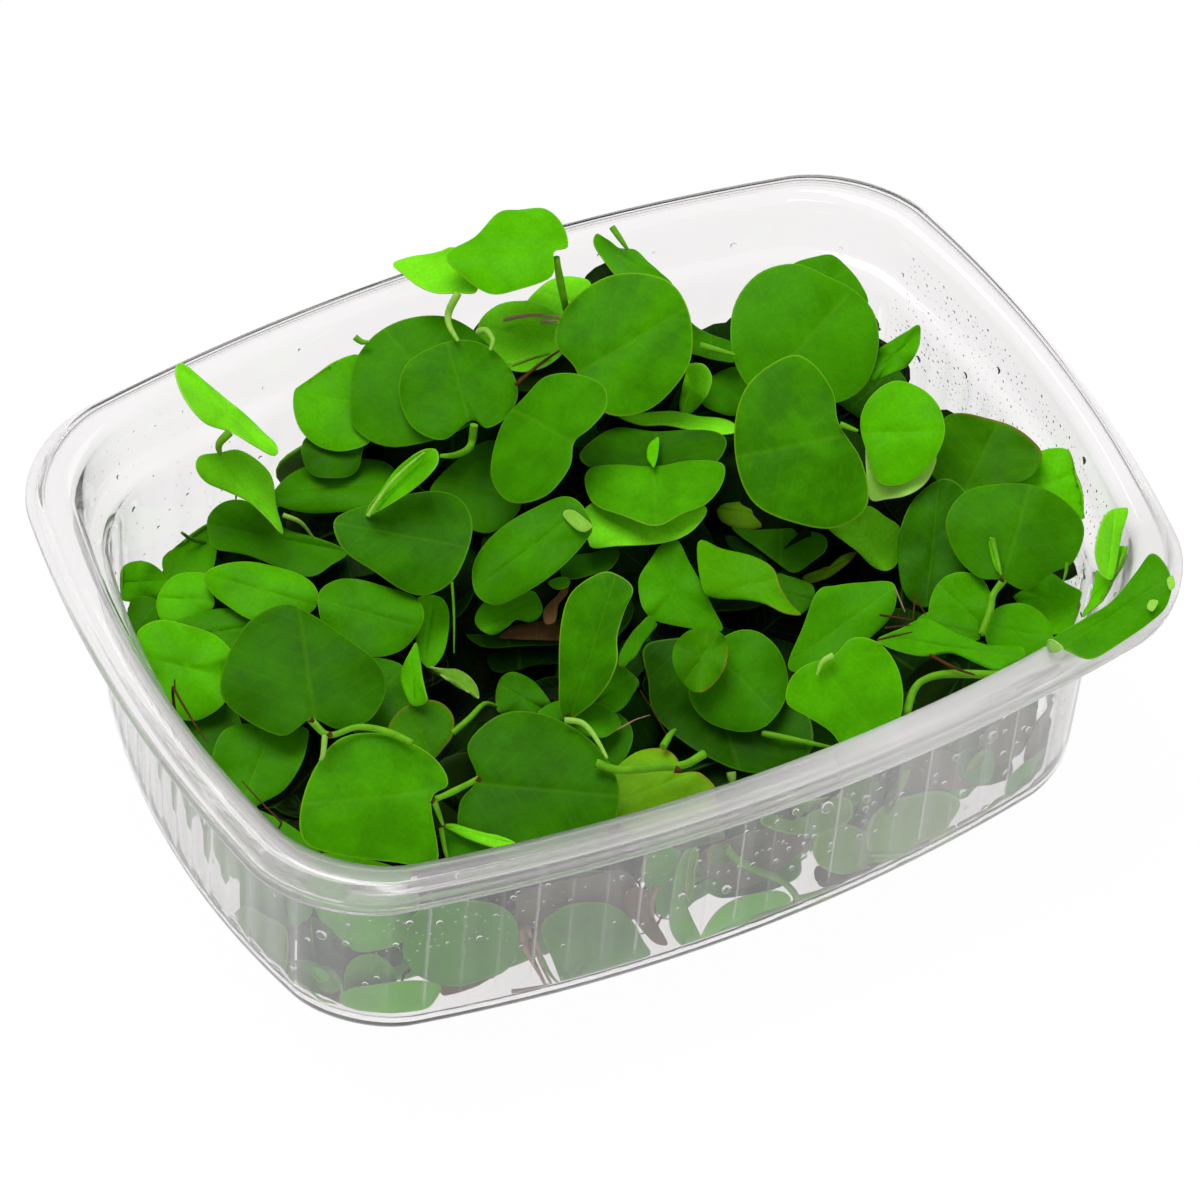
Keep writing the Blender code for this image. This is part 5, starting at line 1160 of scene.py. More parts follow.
def makeBladeSet():
    chance = np.random.default_rng(3)
    blades = bpy.data.collections.new("fillerBlades")
    for i, form in enumerate(((0.98, 0.10, 0.0, -12, -8), (0.80, 0.04, 0.2, 14, 6), (1.08, 0.14, 0.1, -22, 10),
                              (0.62, 0.03, 0.3, 40, 10), (0.90, 0.08, 0.0, 10, -18))):
        blades.objects.link(fillerBlade(f"fillerBlade{i}", *form, chance))
    return blades


def scatterTree(name):
    # leaves stood on a surface: spacing, size and tilt are random within their inputs
    tree, given = newGeometryTree(name, {
        "Collection": "Blades", "Float": "Spacing Density Small Large Tilt Flip Dim Light", "Int": "Seed"})
    spread = addNode(tree, "GeometryNodeDistributePointsOnFaces",
                     {"Mesh": given["Geometry"], "Distance Min": given["Spacing"], "Density Max": given["Density"],
                      "Seed": given["Seed"]}, distribute_method="POISSON")
    blades = addNode(tree, "GeometryNodeCollectionInfo",
                     {"Collection": given["Blades"], "Separate Children": True, "Reset Children": True})
    halfTurn = 3.1416
    minusTilt = addNode(tree, "ShaderNodeMath", {0: given["Tilt"], 1: -1.0}, operation="MULTIPLY")
    low = addNode(tree, "ShaderNodeCombineXYZ", {"X": minusTilt, "Y": minusTilt, "Z": -halfTurn})
    high = addNode(tree, "ShaderNodeCombineXYZ", {"X": given["Tilt"], "Y": given["Tilt"], "Z": halfTurn})
    turn = addNode(tree, "FunctionNodeRandomValue", {0: low, 1: high, "Seed": given["Seed"]},
                   data_type="FLOAT_VECTOR")
    flipChance = addNode(tree, "FunctionNodeRandomValue", {"Seed": 77}, data_type="FLOAT")
    flipped = addNode(tree, "ShaderNodeMath", {0: flipChance, 1: given["Flip"]}, operation="LESS_THAN")
    half = addNode(tree, "ShaderNodeMath", {0: flipped, 1: halfTurn}, operation="MULTIPLY")
    over = addNode(tree, "ShaderNodeCombineXYZ", {"X": half})
    facing = spread.outputs["Rotation"]
    for angles in (turn, over):
        turnBy = addNode(tree, "FunctionNodeEulerToRotation", {"Euler": angles})
        facing = addNode(tree, "FunctionNodeRotateRotation", {"Rotation": facing, "Rotate By": turnBy},
                         rotation_space="LOCAL")
    size = addNode(tree, "FunctionNodeRandomValue", {2: given["Small"], 3: given["Large"], "Seed": 5},
                   data_type="FLOAT")
    placed = addNode(tree, "GeometryNodeInstanceOnPoints",
                     {"Points": spread, "Instance": blades, "Pick Instance": True, "Rotation": facing,
                      "Scale": size})
    shade = addNode(tree, "FunctionNodeRandomValue", {2: given["Dim"], 3: given["Light"], "Seed": 9},
                    data_type="FLOAT")
    toned = addNode(tree, "GeometryNodeStoreNamedAttribute",
                    {"Geometry": placed, "Name": "tone", "Value": shade}, data_type="FLOAT", domain="INSTANCE")
    return finishTree(tree, toned, given["Skin"])


def tuckBehind(piece):
    # a filler leaf that would hide a leaf that shows is moved back until it is behind it, and one that
    # would show beside the heap or in a dark gap is taken away
    perBlade = 2 * (1 + fillerForm["outlinePoints"] * len(fillerForm["rings"]))
    blades = meshPoints(piece).reshape(-1, perBlade, 3)
    px, py, depth = pictureSpots(blades)
    push = np.maximum((deepestLaid(px, py, 1) + fillerForm["behind"] - depth).max(axis=1), 0)
    middle = blades.mean(axis=1)
    away = (middle - eye) / np.linalg.norm(middle - eye, axis=1)[:, None]
    setPoints(piece, (blades + (away * push[:, None])[:, None]).reshape(-1, 3))
    stray = insideShape(px, py, heapShows).mean(axis=1) < fillerForm["leastOnHeap"]
    for gap in heapGaps:
        stray |= insideShape(px, py, gap).mean(axis=1) > fillerForm["mostInGap"]
    shape = bmesh.new()
    shape.from_mesh(piece.data)
    shape.verts.ensure_lookup_table()
    unwanted = [shape.verts[i] for i in np.nonzero(np.repeat(stray, perBlade))[0]]
    bmesh.ops.delete(shape, geom=unwanted, context="VERTS")
    shape.to_mesh(piece.data)
    shape.free()


def makeFillers():
    u = undergrowth
    blades = makeBladeSet()
    tree = scatterTree("scatterLeaves")
    angles, levels = bedLevels(u["topGap"], u["topDrop"])
    count = len(angles)
    topFaces = [bandFace(count, row, i) for row in range(len(levels) - 1) for i in range(count)]
    # along the walls up to the edge of the bed, but not at the foot of the side that faces the viewer
    heights = u["wallHeights"]
    walls = [wallRing(angles, height, u["wallGap"]) for height in heights]
    edgeTop = np.array([bedHeight(*p[:2]) for p in wallRing(angles, u["edgeHeight"], u["edgeGap"])])
    edgeTop = np.maximum(edgeTop, np.roll(edgeTop, -1)) + u["overEdge"]
    atFront = [u["frontFrom"] < math.atan2(math.sin(a), math.cos(a)) < u["frontTo"] for a in angles]
    wallFaces = [bandFace(count, row, i) for row in range(len(heights) - 1) for i in range(count)
                 if heights[row + 1] < edgeTop[i] and not (atFront[i] and row == 0)]
    # the top filler leaves take the deep skin, painted shade
    for name, points, faces, room, skin in (
            ("filler_leaves_top", np.concatenate(levels), topFaces, u["topRoom"], "deep"),
            ("filler_leaves_wall", np.concatenate(walls), wallFaces, u["wallRoom"], "mid")):
        seed = addPiece(name + "Seed", points, faces, None)
        piece = grow(seed, tree, {**fillers[name], "Blades": blades, "Skin": leafSkins[skin]}, name)
        tuckBehind(piece)
        placed = keepInside(meshPoints(piece), room)
        # none goes through the tub's floor, and those that lie on it aren't quite in one plane
        placed[:, 2] = np.maximum(placed[:, 2], u["least"] + 0.02 * np.arange(len(placed)) / len(placed))
        setPoints(piece, placed)
        print(name, len(piece.data.polygons), "faces")
        handOver(piece)


makeCore()
makeFillers()
print("undergrowth is made")


# leaves lying against the front wall, and small ones on the heap or at a height in its gaps: skin, tone,
# how far in from the wall or above the heap, and the outline as it shows
pressedForm = {"outlinePoints": 40, "rings": (0.4, 0.7, 0.88, 0.97, 1.0), "thickness": 0.26, "bulge": 0.45,
               "edgeThickness": 0.1, "wallTop": 27.0, "wallFoot": 0.95, "wallSteps": 500}
# among these, the sunlit and deep skins are painted light and painted shade
pressedLeaves = (
    ("wall_corner_top", "mid", 0.2, "wall", 1.3,
     "248,868 240,892 248,918 272,930 302,920 316,903 306,884 278,868"),
    ("wall_corner_low", "pale", -0.35, "wall", 0.6,
     "236,912 245,935 262,958 283,975 291,960 293,940 288,926 268,914 250,905"),
    ("wall_corner_edge", "bright", 0.3, "wall", 0.35,
     "230,914 240,932 254,952 272,972 262,972 246,954 233,932"),
    ("wall_under_corner", "mid", 0.15, "wall", 1.2,
     "281,974 300,988 320,992 338,988 338,972 322,962 300,958 284,962"),
    ("wall_dark_corner", "dark", -0.1, "wall", 2.2,
     "290,925 292,960 320,985 360,975 400,960 400,930 350,925 316,915"),
    ("wall_bud", "bright", 0.3, "wall", 0.4, "314,967 316,975 322,979 328,978 329,972 324,967 318,965"),
    ("wall_bottom_bright", "sunlit", -0.1, "wall", 0.5,
     "341,992 343,1003 355,1009 385,1012 412,1010 427,1006 436,995 440,984 425,979 400,979 372,983 352,986"),
    ("wall_behind_bright", "bright", -0.05, "wall", 1.2,
     "344,980 347,964 360,954 376,952 390,962 396,978 388,994 360,1000 346,994"),
    ("wall_brown_corner", "brown", 0.0, "wall", 1.5, "318,975 322,990 345,1003 352,985 345,972 332,968"),
    ("wall_round_big", "mid", 0.22, "wall", 0.6,
     "402,938 412,914 436,901 465,898 494,902 512,914 518,934 514,955 502,970 480,978 452,984 424,977 "
     "406,962"),
    ("wall_brown_strip", "brown", 0.3, "wall", 1.4,
     "436,975 440,992 452,992 470,986 490,976 480,968 455,972"),
    ("wall_round_right", "bright", -0.3, "wall", 0.6,
     "540,924 554,909 577,901 602,901 620,908 634,922 642,939 650,953 636,964 606,974 578,981 563,985 "
     "555,965 545,943"),
    ("wall_grey_top", "greyed", 0.25, "wall", 1.4,
     "508,905 515,890 545,882 590,873 620,868 635,880 640,905 620,925 570,930 530,930 512,920"),
    ("wall_pointed_brown", "brown", 0.35, "wall", 0.5,
     "622,898 632,885 645,890 648,905 655,920 664,936 666,943 656,942 644,932 632,915"),
    ("wall_folded_a", "bright", 0.1, "wall", 0.7,
     "684,848 676,868 671,892 668,918 674,938 688,949 699,945 699,935 689,922 682,902 682,884 688,868 "
     "694,850"),
    ("wall_folded_b", "mid", 0.4, "wall", 1.3,
     "652,848 640,868 646,886 653,902 664,916 670,900 674,876 682,852 668,845"),
    ("wall_strip_upright", "pale", -0.2, "wall", 0.4,
     "690,848 686,866 684,884 688,900 693,884 694,866 698,848"),
    ("wall_bright_right", "sunlit", 0.0, "wall", 0.5,
     "699,943 704,926 716,909 735,897 756,891 776,889 788,894 788,903 776,915 756,929 730,939 712,943"),
    ("wall_grey_right", "greyed", 0.0, "wall", 1.5,
     "700,850 702,868 720,880 745,885 775,870 800,850 806,838 790,828 765,826 742,832 716,842"),
    ("wall_knot", "olive", -0.5, "wall", 0.5, "706,848 708,860 718,864 728,860 731,850 724,843 713,842"),
    ("wall_dim_right", "dark", 0.25, "wall", 1.7,
     "700,880 715,895 745,893 785,882 800,870 795,855 765,862 730,870"),
    ("wall_upper_right", "pale", -0.4, "wall", 1.0,
     "760,822 790,832 825,830 850,815 846,796 820,796 785,805 764,812"),
    ("wall_mottled_a", "pale", -0.2, "wall", 1.1,
     "815,832 812,855 830,870 860,872 885,862 880,842 862,828 838,822"),
    ("wall_dark_foot", "brown", -0.5, "wall", 1.7,
     "812,868 822,886 850,884 880,872 900,862 890,856 860,860 830,862"),
    ("wall_green_foot", "mid", 0.3, "wall", 0.8, "826,895 850,886 880,874 886,880 872,888 850,897 832,904"),
    ("wall_pale_big", "pale", -0.15, "wall", 0.6,
     "868,850 864,830 876,808 900,796 930,789 950,792 958,802 950,818 940,832 915,845 890,852"),
    ("wall_dark_drop", "dark", 0.1, "wall", 0.4, "888,790 884,802 886,812 892,804 898,792 896,786"),
    ("wall_brown_back", "greyed", 0.5, "wall", 1.6,
     "903,762 902,785 920,794 942,790 958,778 960,755 940,748 920,754"),
    ("wall_dark_back", "greyed", 0.1, "wall", 2.2,
     "940,765 945,785 970,785 1005,778 1010,760 990,755 960,758"),
    ("wall_small_green", "mid", 0.3, "wall", 1.0,
     "955,758 962,748 978,745 990,750 993,764 986,780 970,782 958,772"),
    ("wall_small_brown", "olive", 0.2, "wall", 0.5, "963,771 967,760 977,750 985,746 983,755 975,766"),
    ("wall_corner_green", "bright", -0.1, "wall", 0.7,
     "1004,794 1006,778 1018,764 1035,752 1052,742 1058,755 1052,772 1038,788 1022,797"),
    ("wall_corner_brown", "greyed", 0.7, "wall", 1.0,
     "1022,760 1026,738 1038,716 1052,700 1062,690 1064,704 1056,726 1046,746 1034,760"),
    ("wall_corner_high", "mid", 0.3, "wall", 0.9,
     "1044,748 1050,728 1060,708 1068,690 1074,705 1070,730 1062,750 1050,758"),
    ("wall_right_top", "greyed", 0.6, "wall", 1.5,
     "975,745 985,728 1010,712 1035,705 1030,725 1020,748 1000,762 985,760"),
    ("bud_half_moon", "bright", 0.4, "heap", 0.25,
     "654,467 658,455 659,438 654,440 650,443 647,450 647,458 650,463"),
    ("bud_oval", "pale", 0.1, "heap", 0.25,
     "592,527 585,532 577,530 568,522 563,514 567,510 575,511 583,517 589,522"),
    ("stem_sheath", "mid", 0.1, "heap", 0.2,
     "619,666 620,653 631,634 640,624 649,616 656,621 652,632 643,643 636,656 627,663"),
    ("brown_leaf_shown", "brown", 0.45, 17.0, 0.0,
     "499,637 511,627 527,618 543,618 560,620 570,632 568,640 536,640 514,639"),
    ("brown_tip_shown", "brown", 0.3, 20.0, 0.0,
     "568,575 559,593 551,601 544,609 543,617 546,624 554,623 557,616 559,604 568,592"),
    ("curved_edge_leaf", "dark", -0.1, 16.0, 0.0,
     "463,618 465,633 475,643 491,648 523,646 575,643 575,630 527,625 480,612"),
    ("shaded_leaf", "deep", 0.3, 14.0, 0.0,
     "487,659 490,651 498,646 575,646 575,662 536,665 520,670 501,673 491,669"),
    ("dark_leaf_shown", "mid", -0.3, 21.0, 0.0,
     "562,562 572,556 591,553 611,548 619,551 617,561 607,571 591,575 575,579 562,577"),
    ("bud_in_gap", "bright", -0.2, 22.0, 0.0, "548,583 556,578 566,577 570,582 566,588 556,589"),
    ("gap_dim_leaf", "dark", 0.0, 20.5, 0.0,
     "732,527 752,530 778,529 800,529 824,536 826,550 812,562 794,573 776,562 756,547 740,536"),
    ("gap_green_leaf", "deep", 0.4, 19.5, 0.0,
     "726,536 744,540 764,556 782,570 800,580 790,588 766,580 744,560 730,548"),
    ("back_sliver_leaf", "mid", -0.25, 24.0, 0.0,
     "680,316 698,328 712,335 729,341 742,350 735,362 716,360 700,356 684,348"),
    ("leaflet_right", "bright", 0.4, "heap", 0.3,
     "990,537 993,540 996,550 999,560 1001,570 999,573 995,568 991,556 989,545"),
    ("nibble_a", "pale", 0.5, "heap", 0.1, "1148,603 1151,600 1158,601 1156,607 1152,611 1147,608"),
    ("nibble_b", "pale", 0.5, "heap", 0.1, "1167,579 1173,576 1175,586 1171,590 1168,587"),
    ("pale_tip", "pale", 0.3, "heap", 0.15, "1047,641 1053,640 1063,648 1058,652 1049,651"),
    ("beige_leaf", "brown", 0.7, 20.0, 0.0, "948,680 958,678 962,684 950,702 940,706 939,695"))


def wallSpots(spots, gaps):
    # where each line of sight comes through the wall, this far inside it
    heights = np.linspace(pressedForm["wallTop"], pressedForm["wallFoot"], pressedForm["wallSteps"])
    found = []
    for sight, gap in zip(sightLines(spots), np.broadcast_to(gaps, (len(spots),))):
        line = eye + sight * ((heights - eye[2]) / sight[2])[:, None]
        within = np.nonzero(outsideDistance(line[:, 0], line[:, 1], fineInset(heights) + gap) < 0)[0]
        found.append(line[within[0] if len(within) else -1])
    return keepInside(np.array(found), 0.3, room=fineInset)


def heapDepths(spots, clear):
    # depth just in front of what is laid at these places of the picture; gaps are bridged
    rows, columns = (np.array(spots)[:, ::-1] / heap["cellPx"]).astype(int).T
    depths = np.array([nearest[r - 1:r + 2, c - 1:c + 2].min() for r, c in zip(rows, columns)])
    known = np.isfinite(depths)
    return np.interp(np.arange(len(depths)), np.nonzero(known)[0], depths[known]) - clear


def heapSpots(spots, clear):
    # a path over the heap, smoothed where it goes from one leaf to the next, and in front of them all
    depths = heapDepths(spots, clear)
    padded = np.pad(depths, 3, mode="edge")
    low = np.array([padded[i:i + 7].min() for i in range(len(depths))])
    smooth = np.convolve(np.pad(low, 3, mode="edge"), np.ones(7) / 7, mode="valid")
    return eye + sightLines(spots) * (np.minimum(smooth, depths) / viewer["focalPx"])[:, None]


def makePressedLeaves():
    count = pressedForm["outlinePoints"]
    rings = pressedForm["rings"]
    faces = sheetFaces(count, len(rings))
    for name, skin, tone, where, gap, outline in pressedLeaves:
        read = readPoints(outline)
        # an outline read with the clock is turned round
        turned = np.roll(read, -1, axis=0)
        if np.sum(read[:, 0] * turned[:, 1] - turned[:, 0] * read[:, 1]) > 0:
            read = read[::-1]
        middlePx = read.mean(axis=0)
        edgePx = roundedOutline(read, count) - middlePx
        spots = middlePx + np.concatenate([[(0.0, 0.0)]] + [r * edgePx for r in rings])
        edge = np.concatenate([[0.0], np.repeat(rings, count)])
        if where == "wall":
            middle = wallSpots(spots, gap + pressedForm["bulge"] * (1 - edge ** 2))
        elif where != "heap":
            middle = np.array([pointAt(*spot, where) for spot in spots])
        else:
            # flat on what shows there
            depths = heapDepths(spots, 0.0)
            basis = np.column_stack([spots - middlePx, np.ones(len(spots))])
            plane = basis @ np.linalg.lstsq(basis, depths, rcond=None)[0]
            plane = plane + min(0.0, float(np.percentile(depths - plane, 12))) - gap
            middle = eye + sightLines(spots) * (plane / viewer["focalPx"])[:, None]
        points, closed = thickened(middle, faces, count, halfThickness(edge, pressedForm))
        piece = addPiece(name, points, closed, leafSkins[skin])
        storeValues(piece, {"edge": np.tile(edge, 2), "under": np.zeros(len(points)),
                            "tone": np.full(len(points), tone)})
        across = (spots - middlePx) / np.abs(edgePx).max()
        storeUv(piece, np.tile(np.stack([across[:, 0], -across[:, 1]], 1), (2, 1)))
        handOver(piece)


makePressedLeaves()
print("leaves on the front wall and small leaves in the gaps are made")


# stalks and roots that show one by one, by where they lie: skin, radius, and their points as they show
shownStrands = {
    "heap": (
        ("pale", 0.42, "458,293 449,311 449,325 458,341"),
        ("green", 0.42, "474,425 470,447 455,455 440,456"), ("green", 0.45, "230,432 219,444 220,454"),
        ("green", 0.33, "453,733 470,718 484,704 497,706"), ("green", 0.35, "762,733 800,741 830,747"),
        ("green", 0.3, "992,538 1001,575"), ("green", 0.35, "700,345 735,355"),
        ("green", 0.35, "612,227 628,250"), ("pale", 0.35, "478,332 486,330 493,340 490,350"),
        ("green", 0.35, "355,337 362,342 370,342"), ("green", 0.3, "510,365 530,358 550,353"),
        ("pale", 0.3, "833,655 822,662 817,675"), ("green", 0.3, "840,424 858,431"),
        ("pale", 0.3, "325,735 323,755 320,760"), ("pale", 0.32, "565,720 580,722 590,730 600,745 607,758"),
        ("green", 0.3, "434,801 443,825"), ("green", 0.25, "441,828 445,850 449,862"),
        ("pale", 0.5, "731,772 733,785"), ("green", 0.38, "663,747 670,735 675,730"),
        ("pale", 0.22, "368,516 376,503 390,484 408,466 425,452"),
        ("pale", 0.25, "283,515 300,522 313,537"), ("green", 0.14, "452,582 454,615 454,653"),
        ("pink", 0.1, "895,588 905,612"), ("brown", 0.1, "915,595 913,620"),
        ("brown", 0.1, "918,602 926,615"), ("brown", 0.12, "880,615 912,620"),
        ("brown", 0.12, "885,628 910,625"), ("brown", 0.12, "877,640 912,632"),
        ("pink", 0.22, "503,320 530,315 560,317"), ("pink", 0.18, "542,322 558,321"),
        ("brown", 0.2, "515,385 540,364 560,350"), ("brown", 0.18, "930,655 955,668 975,675"),
        ("brown", 0.1, "640,690 655,715 670,740"), ("pink", 0.09, "617,730 635,720 650,715"),
        ("green", 0.2, "1067,562 1066,572 1063,582"), ("brown", 0.34, "310,719 314,722"),
        ("brown", 0.34, "328,733 332,737"), ("brown", 0.34, "432,800 436,804"),
        ("brown", 0.34, "441,823 445,826"), ("brown", 0.34, "477,778 481,781"),
        ("brown", 0.3, "481,704 486,706"), ("brown", 0.4, "675,769 681,771"),
        ("brown", 0.3, "567,714 570,719"), ("brown", 0.28, "761,732 766,734"),
        ("brown", 0.24, "1000,578 1004,582")),
    "wall": (
        ("green", 0.42, "725,845 735,857 750,866 768,873 782,880 792,890 795,900 787,914 768,925 745,937"),
        ("pale", 0.4, "797,897 812,894 826,892 838,888"), ("green", 0.5, "868,855 885,856 905,858 922,856"),
        ("pale", 0.2, "868,853 890,853 915,854"), ("pale", 0.5, "904,765 900,780 896,792"),
        ("pale", 0.35, "956,830 940,838 925,846"), ("pink", 0.3, "520,925 524,945 535,965 545,985"),
        ("pink", 0.25, "526,925 536,945 540,962 552,985"), ("brown", 0.3, "532,928 530,950 540,975"),
        ("green", 0.22, "540,955 548,970 560,985"), ("pink", 0.25, "512,990 530,990 552,990"),
        ("pink", 0.3, "655,885 650,900 652,915"), ("pink", 0.25, "960,828 985,812 1012,798"),
        ("pale", 0.3, "985,812 996,800 1008,794 1020,797"), ("brown", 0.25, "905,855 930,842 955,828"),
        ("pale", 0.25, "290,985 310,995 335,1005"), ("green", 0.25, "333,968 340,978 343,990"))}


def shownPath(where, radius, text):
    spots = readPoints(text)
    steps = max(2, int(np.hypot(*np.diff(spots, axis=0).T).sum() / (len(spots) - 1) / 4))
    dense = smoothRoute(spots, steps)
    if where == "wall":
        return wallSpots(dense, radius + 0.15)
    return heapSpots(dense, radius + 0.3)


# roots and stalks that wander over the wall, between a lowest and a highest place
strands = {"wallRoots": 40, "wallStalks": 10, "rootRadius": (0.09, 0.17), "stalkRadius": (0.34, 0.5),
           "step": 1.3, "lowest": 2.0, "highest": 20.5}


def strandTree():
    # a tube along each line of the mesh, as thick as its girth says
    tree, given = newGeometryTree("strandTubes", {"Int": "Sides"})
    lines = addNode(tree, "GeometryNodeMeshToCurve", {"Mesh": given["Geometry"]})
    width = addNode(tree, "GeometryNodeInputNamedAttribute", {"Name": "girth"}, data_type="FLOAT")
    ring = addNode(tree, "GeometryNodeCurvePrimitiveCircle", {"Resolution": given["Sides"], "Radius": 1.0},
                   mode="RADIUS")
    skin = addNode(tree, "GeometryNodeCurveToMesh",
                   {"Curve": lines, "Profile Curve": ring, "Scale": width, "Fill Caps": True})
    return finishTree(tree, skin, given["Skin"])


def growStrands(name, paths, girths, sides, material, tree):
    points = np.concatenate(paths)
    starts = np.cumsum([0] + [len(p) for p in paths])
    edges = [(s + i, s + i + 1) for s, p in zip(starts, paths) for i in range(len(p) - 1)]
    seed = addPiece(name + "Seed", points, [], None, edges)
    along = np.concatenate([g * (1 - 0.55 * np.linspace(0, 1, len(p)) ** 2) for g, p in zip(girths, paths)])
    storeValues(seed, {"girth": along * mm})
    piece = grow(seed, tree, {"Sides": sides, "Skin": material}, name)
    print(name, len(piece.data.polygons), "faces")
    handOver(piece)


def wanderOnWall(chance, steps, gap, bend):
    angle, z = chance.uniform(0, 6.28), chance.uniform(4, 18)
    heading = chance.uniform(0, 6.28)
    path = []
    for _ in range(steps):
        spot = wallRing(np.array([angle]), z, gap)[0]
        path.append(spot)
        heading += chance.uniform(-bend, bend)
        angle += strands["step"] * math.cos(heading) / np.hypot(*spot[:2])
        z += strands["step"] * math.sin(heading)
        z = min(max(z, strands["lowest"]), strands["highest"])
    return np.array(path)


def makeStrands():
    chance = np.random.default_rng(21)
    tree = strandTree()
    roots = [wanderOnWall(chance, int(chance.integers(6, 18)), chance.uniform(1.6, 2.8), 0.6)
             for _ in range(strands["wallRoots"])]
    stalks = [wanderOnWall(chance, int(chance.integers(6, 14)), chance.uniform(1.6, 2.6), 0.3)
              for _ in range(strands["wallStalks"])]
    # none of them shows beside the heap
    roots, stalks = ([path for path in paths if insideShape(*pictureSpots(path)[:2], heapShows).all()]
                     for paths in (roots, stalks))
    for name, paths, radius, sides, skin, slotName in (
            ("brown_roots", roots, strands["rootRadius"], 5, brownRoot, "buried_plants"),
            ("thin_stalks", stalks, strands["stalkRadius"], 7, greenStalk, "stem_green")):
        growStrands(name, paths, chance.uniform(*radius, len(paths)), sides, skin, tree)
    for kind, sort, skin, slotName in (("green", "stalks", greenStalk, "stem_green"),
                                       ("pale", "stalks", paleStalk, "stem_green"),
                                       ("brown", "roots", brownRoot, "buried_plants"),
                                       ("pink", "roots", pinkRoot, "buried_plants")):
        rows = [(where, radius, spots) for where, group in shownStrands.items()
                for rowKind, radius, spots in group if rowKind == kind]
        growStrands(f"shown_{kind}_{sort}", [shownPath(*row) for row in rows], [row[1] for row in rows], 9,
                    skin, tree)


makeStrands()
print("roots and thin stalks are made")


water = {"spokes": 540, "levels": 7,
         "patches": (  # name, from and to angle, low and high, spacing, density, small and large radius, seed
             ("mist_front", -150, -30, 12.0, 22.0, 0.75, 900000.0, 0.07, 0.17, 1),
             ("mist_right_back", -24, 24, 16.5, 27.5, 0.55, 2200000.0, 0.07, 0.18, 2),
             ("mist_left", 130, 230, 10.0, 28.0, 1.3, 300000.0, 0.07, 0.14, 3),
             ("drops_front", -150, -30, 7.0, 27.5, 3.0, 60000.0, 0.2, 0.48, 4),
             ("drops_sides", -30, 210, 8.0, 28.0, 4.2, 30000.0, 0.18, 0.42, 5))}


# the drops on the front wall that show one by one: px, py and radius in mm
shownDrops = (
    (595, 849, .48), (610, 851, .38), (568, 863, .3), (622, 840, .25), (549, 856, .22), (745, 810, .28),
    (796, 812, .4), (727, 890, .55), (682, 897, .45), (757, 854, .24), (776, 861, .28), (789, 849, .3),
    (804, 857, .34), (792, 868, .3), (718, 873, .2), (729, 872, .2), (714, 884, .2), (696, 887, .2),
    (739, 867, .2), (806, 836, .28), (814, 837, .34), (804, 844, .26), (828, 808, .75), (840, 796, .26),
    (853, 795, .28), (867, 799, .5), (874, 804, .3), (866, 809, .36), (864, 822, .28), (860, 837, .4),
    (876, 832, .32), (814, 827, .22), (846, 829, .24), (832, 845, .36), (884, 776, .28), (936, 776, .34),
    (935, 783, .26), (957, 758, .48), (963, 793, .5), (945, 784, .4), (982, 737, .26), (994, 736, .58),
    (1006, 732, .34), (1029, 730, .44), (1003, 720, .24), (1017, 743, .2), (966, 807, .28), (985, 808, .46),
    (1057, 699, .42), (1018, 703, .22), (923, 732, .2), (640, 880, .22), (548, 886, .3), (513, 898, .3),
    (321, 936, .55), (512, 960, .6), (292, 968, .3), (365, 985, .3), (622, 878, .3), (700, 862, .28),
    (770, 850, .2), (783, 842, .2), (748, 879, .16))


def clearWaterMaterial():
    # condensed water, beaded by its own surface tension: clear, hardly rough at all
    material, _, shader = newMaterial("condensedWater")
    setInputs(shader, {"Base Color": "#FFFFFF", "Roughness": 0.02, "IOR": 1.333, "Transmission Weight": 1.0})
    return material


def dropletTree():
    # beads of random size, mostly small, stood on a surface
    tree, given = newGeometryTree("wallDroplets", {
        "Object": "Drop", "Float": "Spacing Density Small Large", "Int": "Seed"})
    spread = addNode(tree, "GeometryNodeDistributePointsOnFaces",
                     {"Mesh": given["Geometry"], "Distance Min": given["Spacing"], "Density Max": given["Density"],
                      "Seed": given["Seed"]}, distribute_method="POISSON")
    drop = addNode(tree, "GeometryNodeObjectInfo", {"Object": given["Drop"], "As Instance": True})
    share = addNode(tree, "FunctionNodeRandomValue", {"Seed": given["Seed"]}, data_type="FLOAT")
    few = addNode(tree, "ShaderNodeMath", {0: share, 1: 2.4}, operation="POWER")
    size = addNode(tree, "ShaderNodeMapRange", {"Value": few, "To Min": given["Small"], "To Max": given["Large"]})
    placed = addNode(tree, "GeometryNodeInstanceOnPoints",
                     {"Points": spread, "Instance": drop.outputs["Geometry"],
                      "Rotation": spread.outputs["Rotation"], "Scale": size})
    return finishTree(tree, placed, given["Skin"])


def beadShape(name, segments, levels):
    # a bead of water 1 mm in radius, flattened, its foot in the wall and its crown towards +Z
    turn = 2 * np.pi * np.arange(segments) / segments
    rings = [np.stack([r * np.cos(turn), r * np.sin(turn), np.full(segments, z)], 1) for r, z in levels]
    points, faces = loft(rings, (0, 0, levels[0][1]), (0, 0, 0.62))
    bead = addPiece(name, points, faces, None)
    scene.collection.objects.unlink(bead)
    return bead


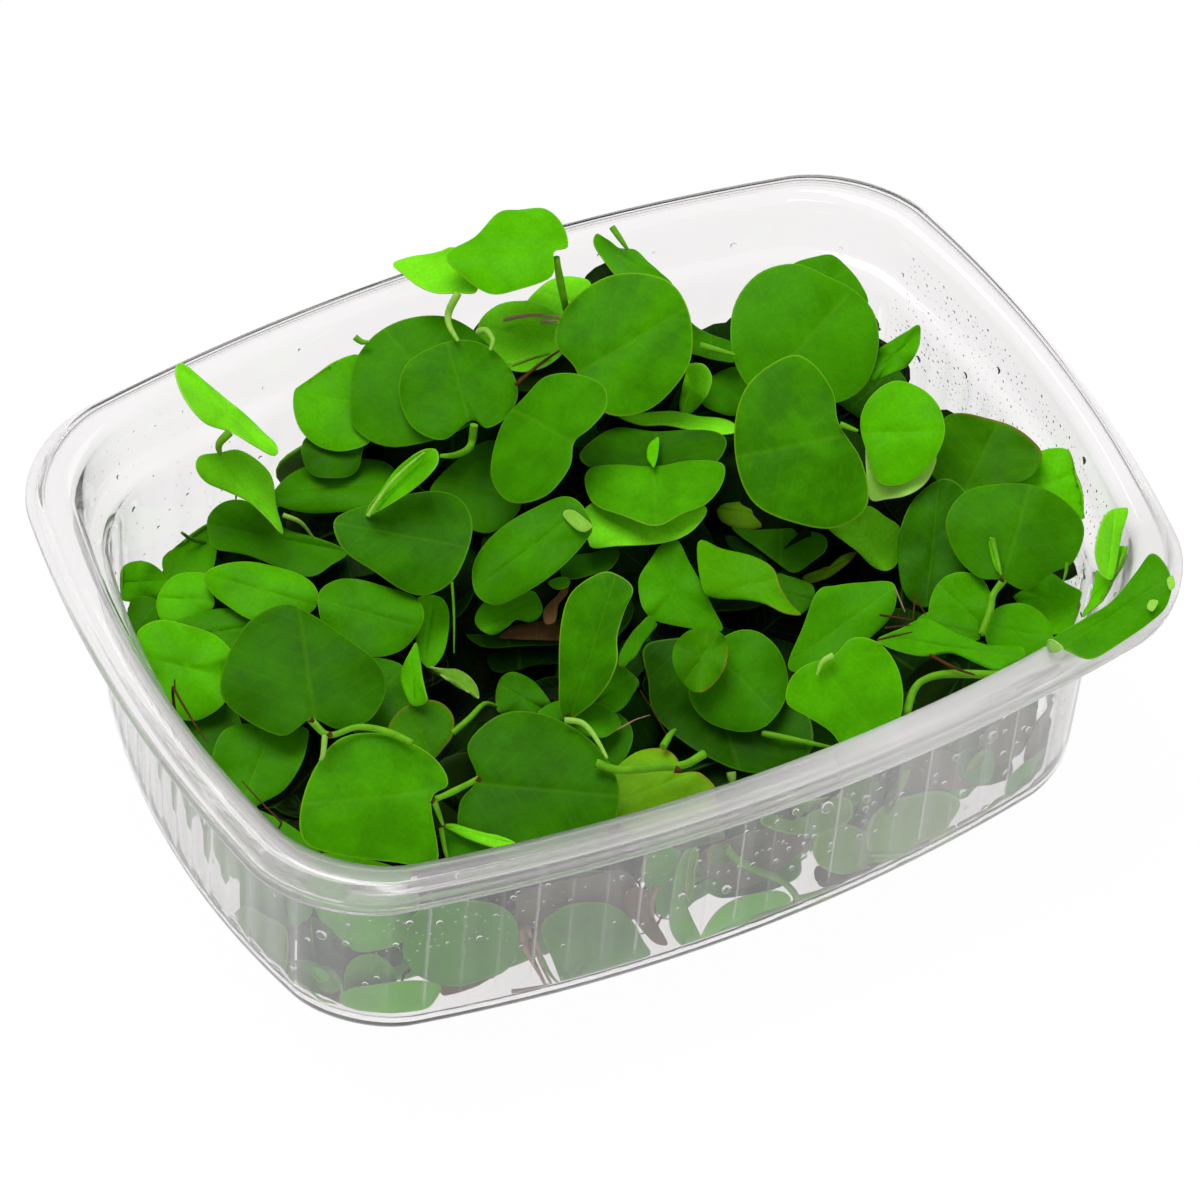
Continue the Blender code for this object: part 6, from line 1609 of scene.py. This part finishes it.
def makeDroplets():
    tree = dropletTree()
    skin = clearWaterMaterial()
    smallBead = beadShape("smallBead", 7, ((0.8, -0.12), (1.0, 0.08), (0.72, 0.45)))
    largeBead = beadShape("largeBead", 14, ((0.8, -0.12), (0.97, -0.02), (1.0, 0.12), (0.9, 0.33), (0.62, 0.53),
                                            (0.3, 0.61)))
    for name, start, end, low, high, spacing, density, small, large, seedNumber in water["patches"]:
        angles = np.radians(np.linspace(start, end, int(water["spokes"] * (end - start) / 360)))
        heights = np.linspace(low, high, water["levels"])
        rings = []
        for height in heights:
            radii = outlineRadii(angles, float(fineInset(height)))
            ring = np.stack([radii * np.cos(angles), radii * np.sin(angles), np.full(len(angles), height)], 1)
            rings.append(ribbed(ring))
        points = np.concatenate(rings)
        n = len(angles)
        faces = [(r * n + i, (r + 1) * n + i, (r + 1) * n + i + 1, r * n + i + 1)
                 for r in range(len(heights) - 1) for i in range(n - 1)]
        seed = addPiece(name + "Seed", points, faces, None)
        piece = grow(seed, tree, {"Drop": largeBead if large > 0.2 else smallBead, "Spacing": spacing * mm,
                                  "Density": density, "Small": small, "Large": large, "Seed": seedNumber,
                                  "Skin": skin}, name)
        print(name, len(piece.data.polygons), "faces")
        handOver(piece)


def makeShownDrops():
    # round beads with their foot on the inner face, their crown towards the plants
    turn = 2 * np.pi * np.arange(20) / 20
    levels = ((0.86, -0.1), (0.97, 0.0), (1.0, 0.16), (0.9, 0.42), (0.68, 0.64), (0.36, 0.78))
    points, faces = [], []
    for px, py, radius in shownDrops:
        foot, low, beside = wallSpots([(px, py), (px, py + 4), (px + 4, py)], 0.03)
        inward = np.cross(beside - foot, low - foot)
        inward = inward / np.linalg.norm(inward)
        if inward @ (foot * (1, 1, 0)) > 0:
            inward = -inward
        side = np.cross(inward, (0, 0, 1.0))
        side = side / np.linalg.norm(side)
        up = np.cross(inward, side)
        rings = [foot + radius * (r * (np.outer(np.cos(turn), side) + np.outer(np.sin(turn), up)) + h * inward)
                 for r, h in levels]
        bead, beadFaces = loft(rings, foot - 0.1 * radius * inward, foot + 0.82 * radius * inward)
        faces += [tuple(i + sum(len(p) for p in points) for i in f) for f in beadFaces]
        points.append(bead)
    piece = addPiece("shown_drops", np.concatenate(points), faces, clearWaterMaterial())
    handOver(piece)


makeDroplets()
makeShownDrops()
print("water drops are made")
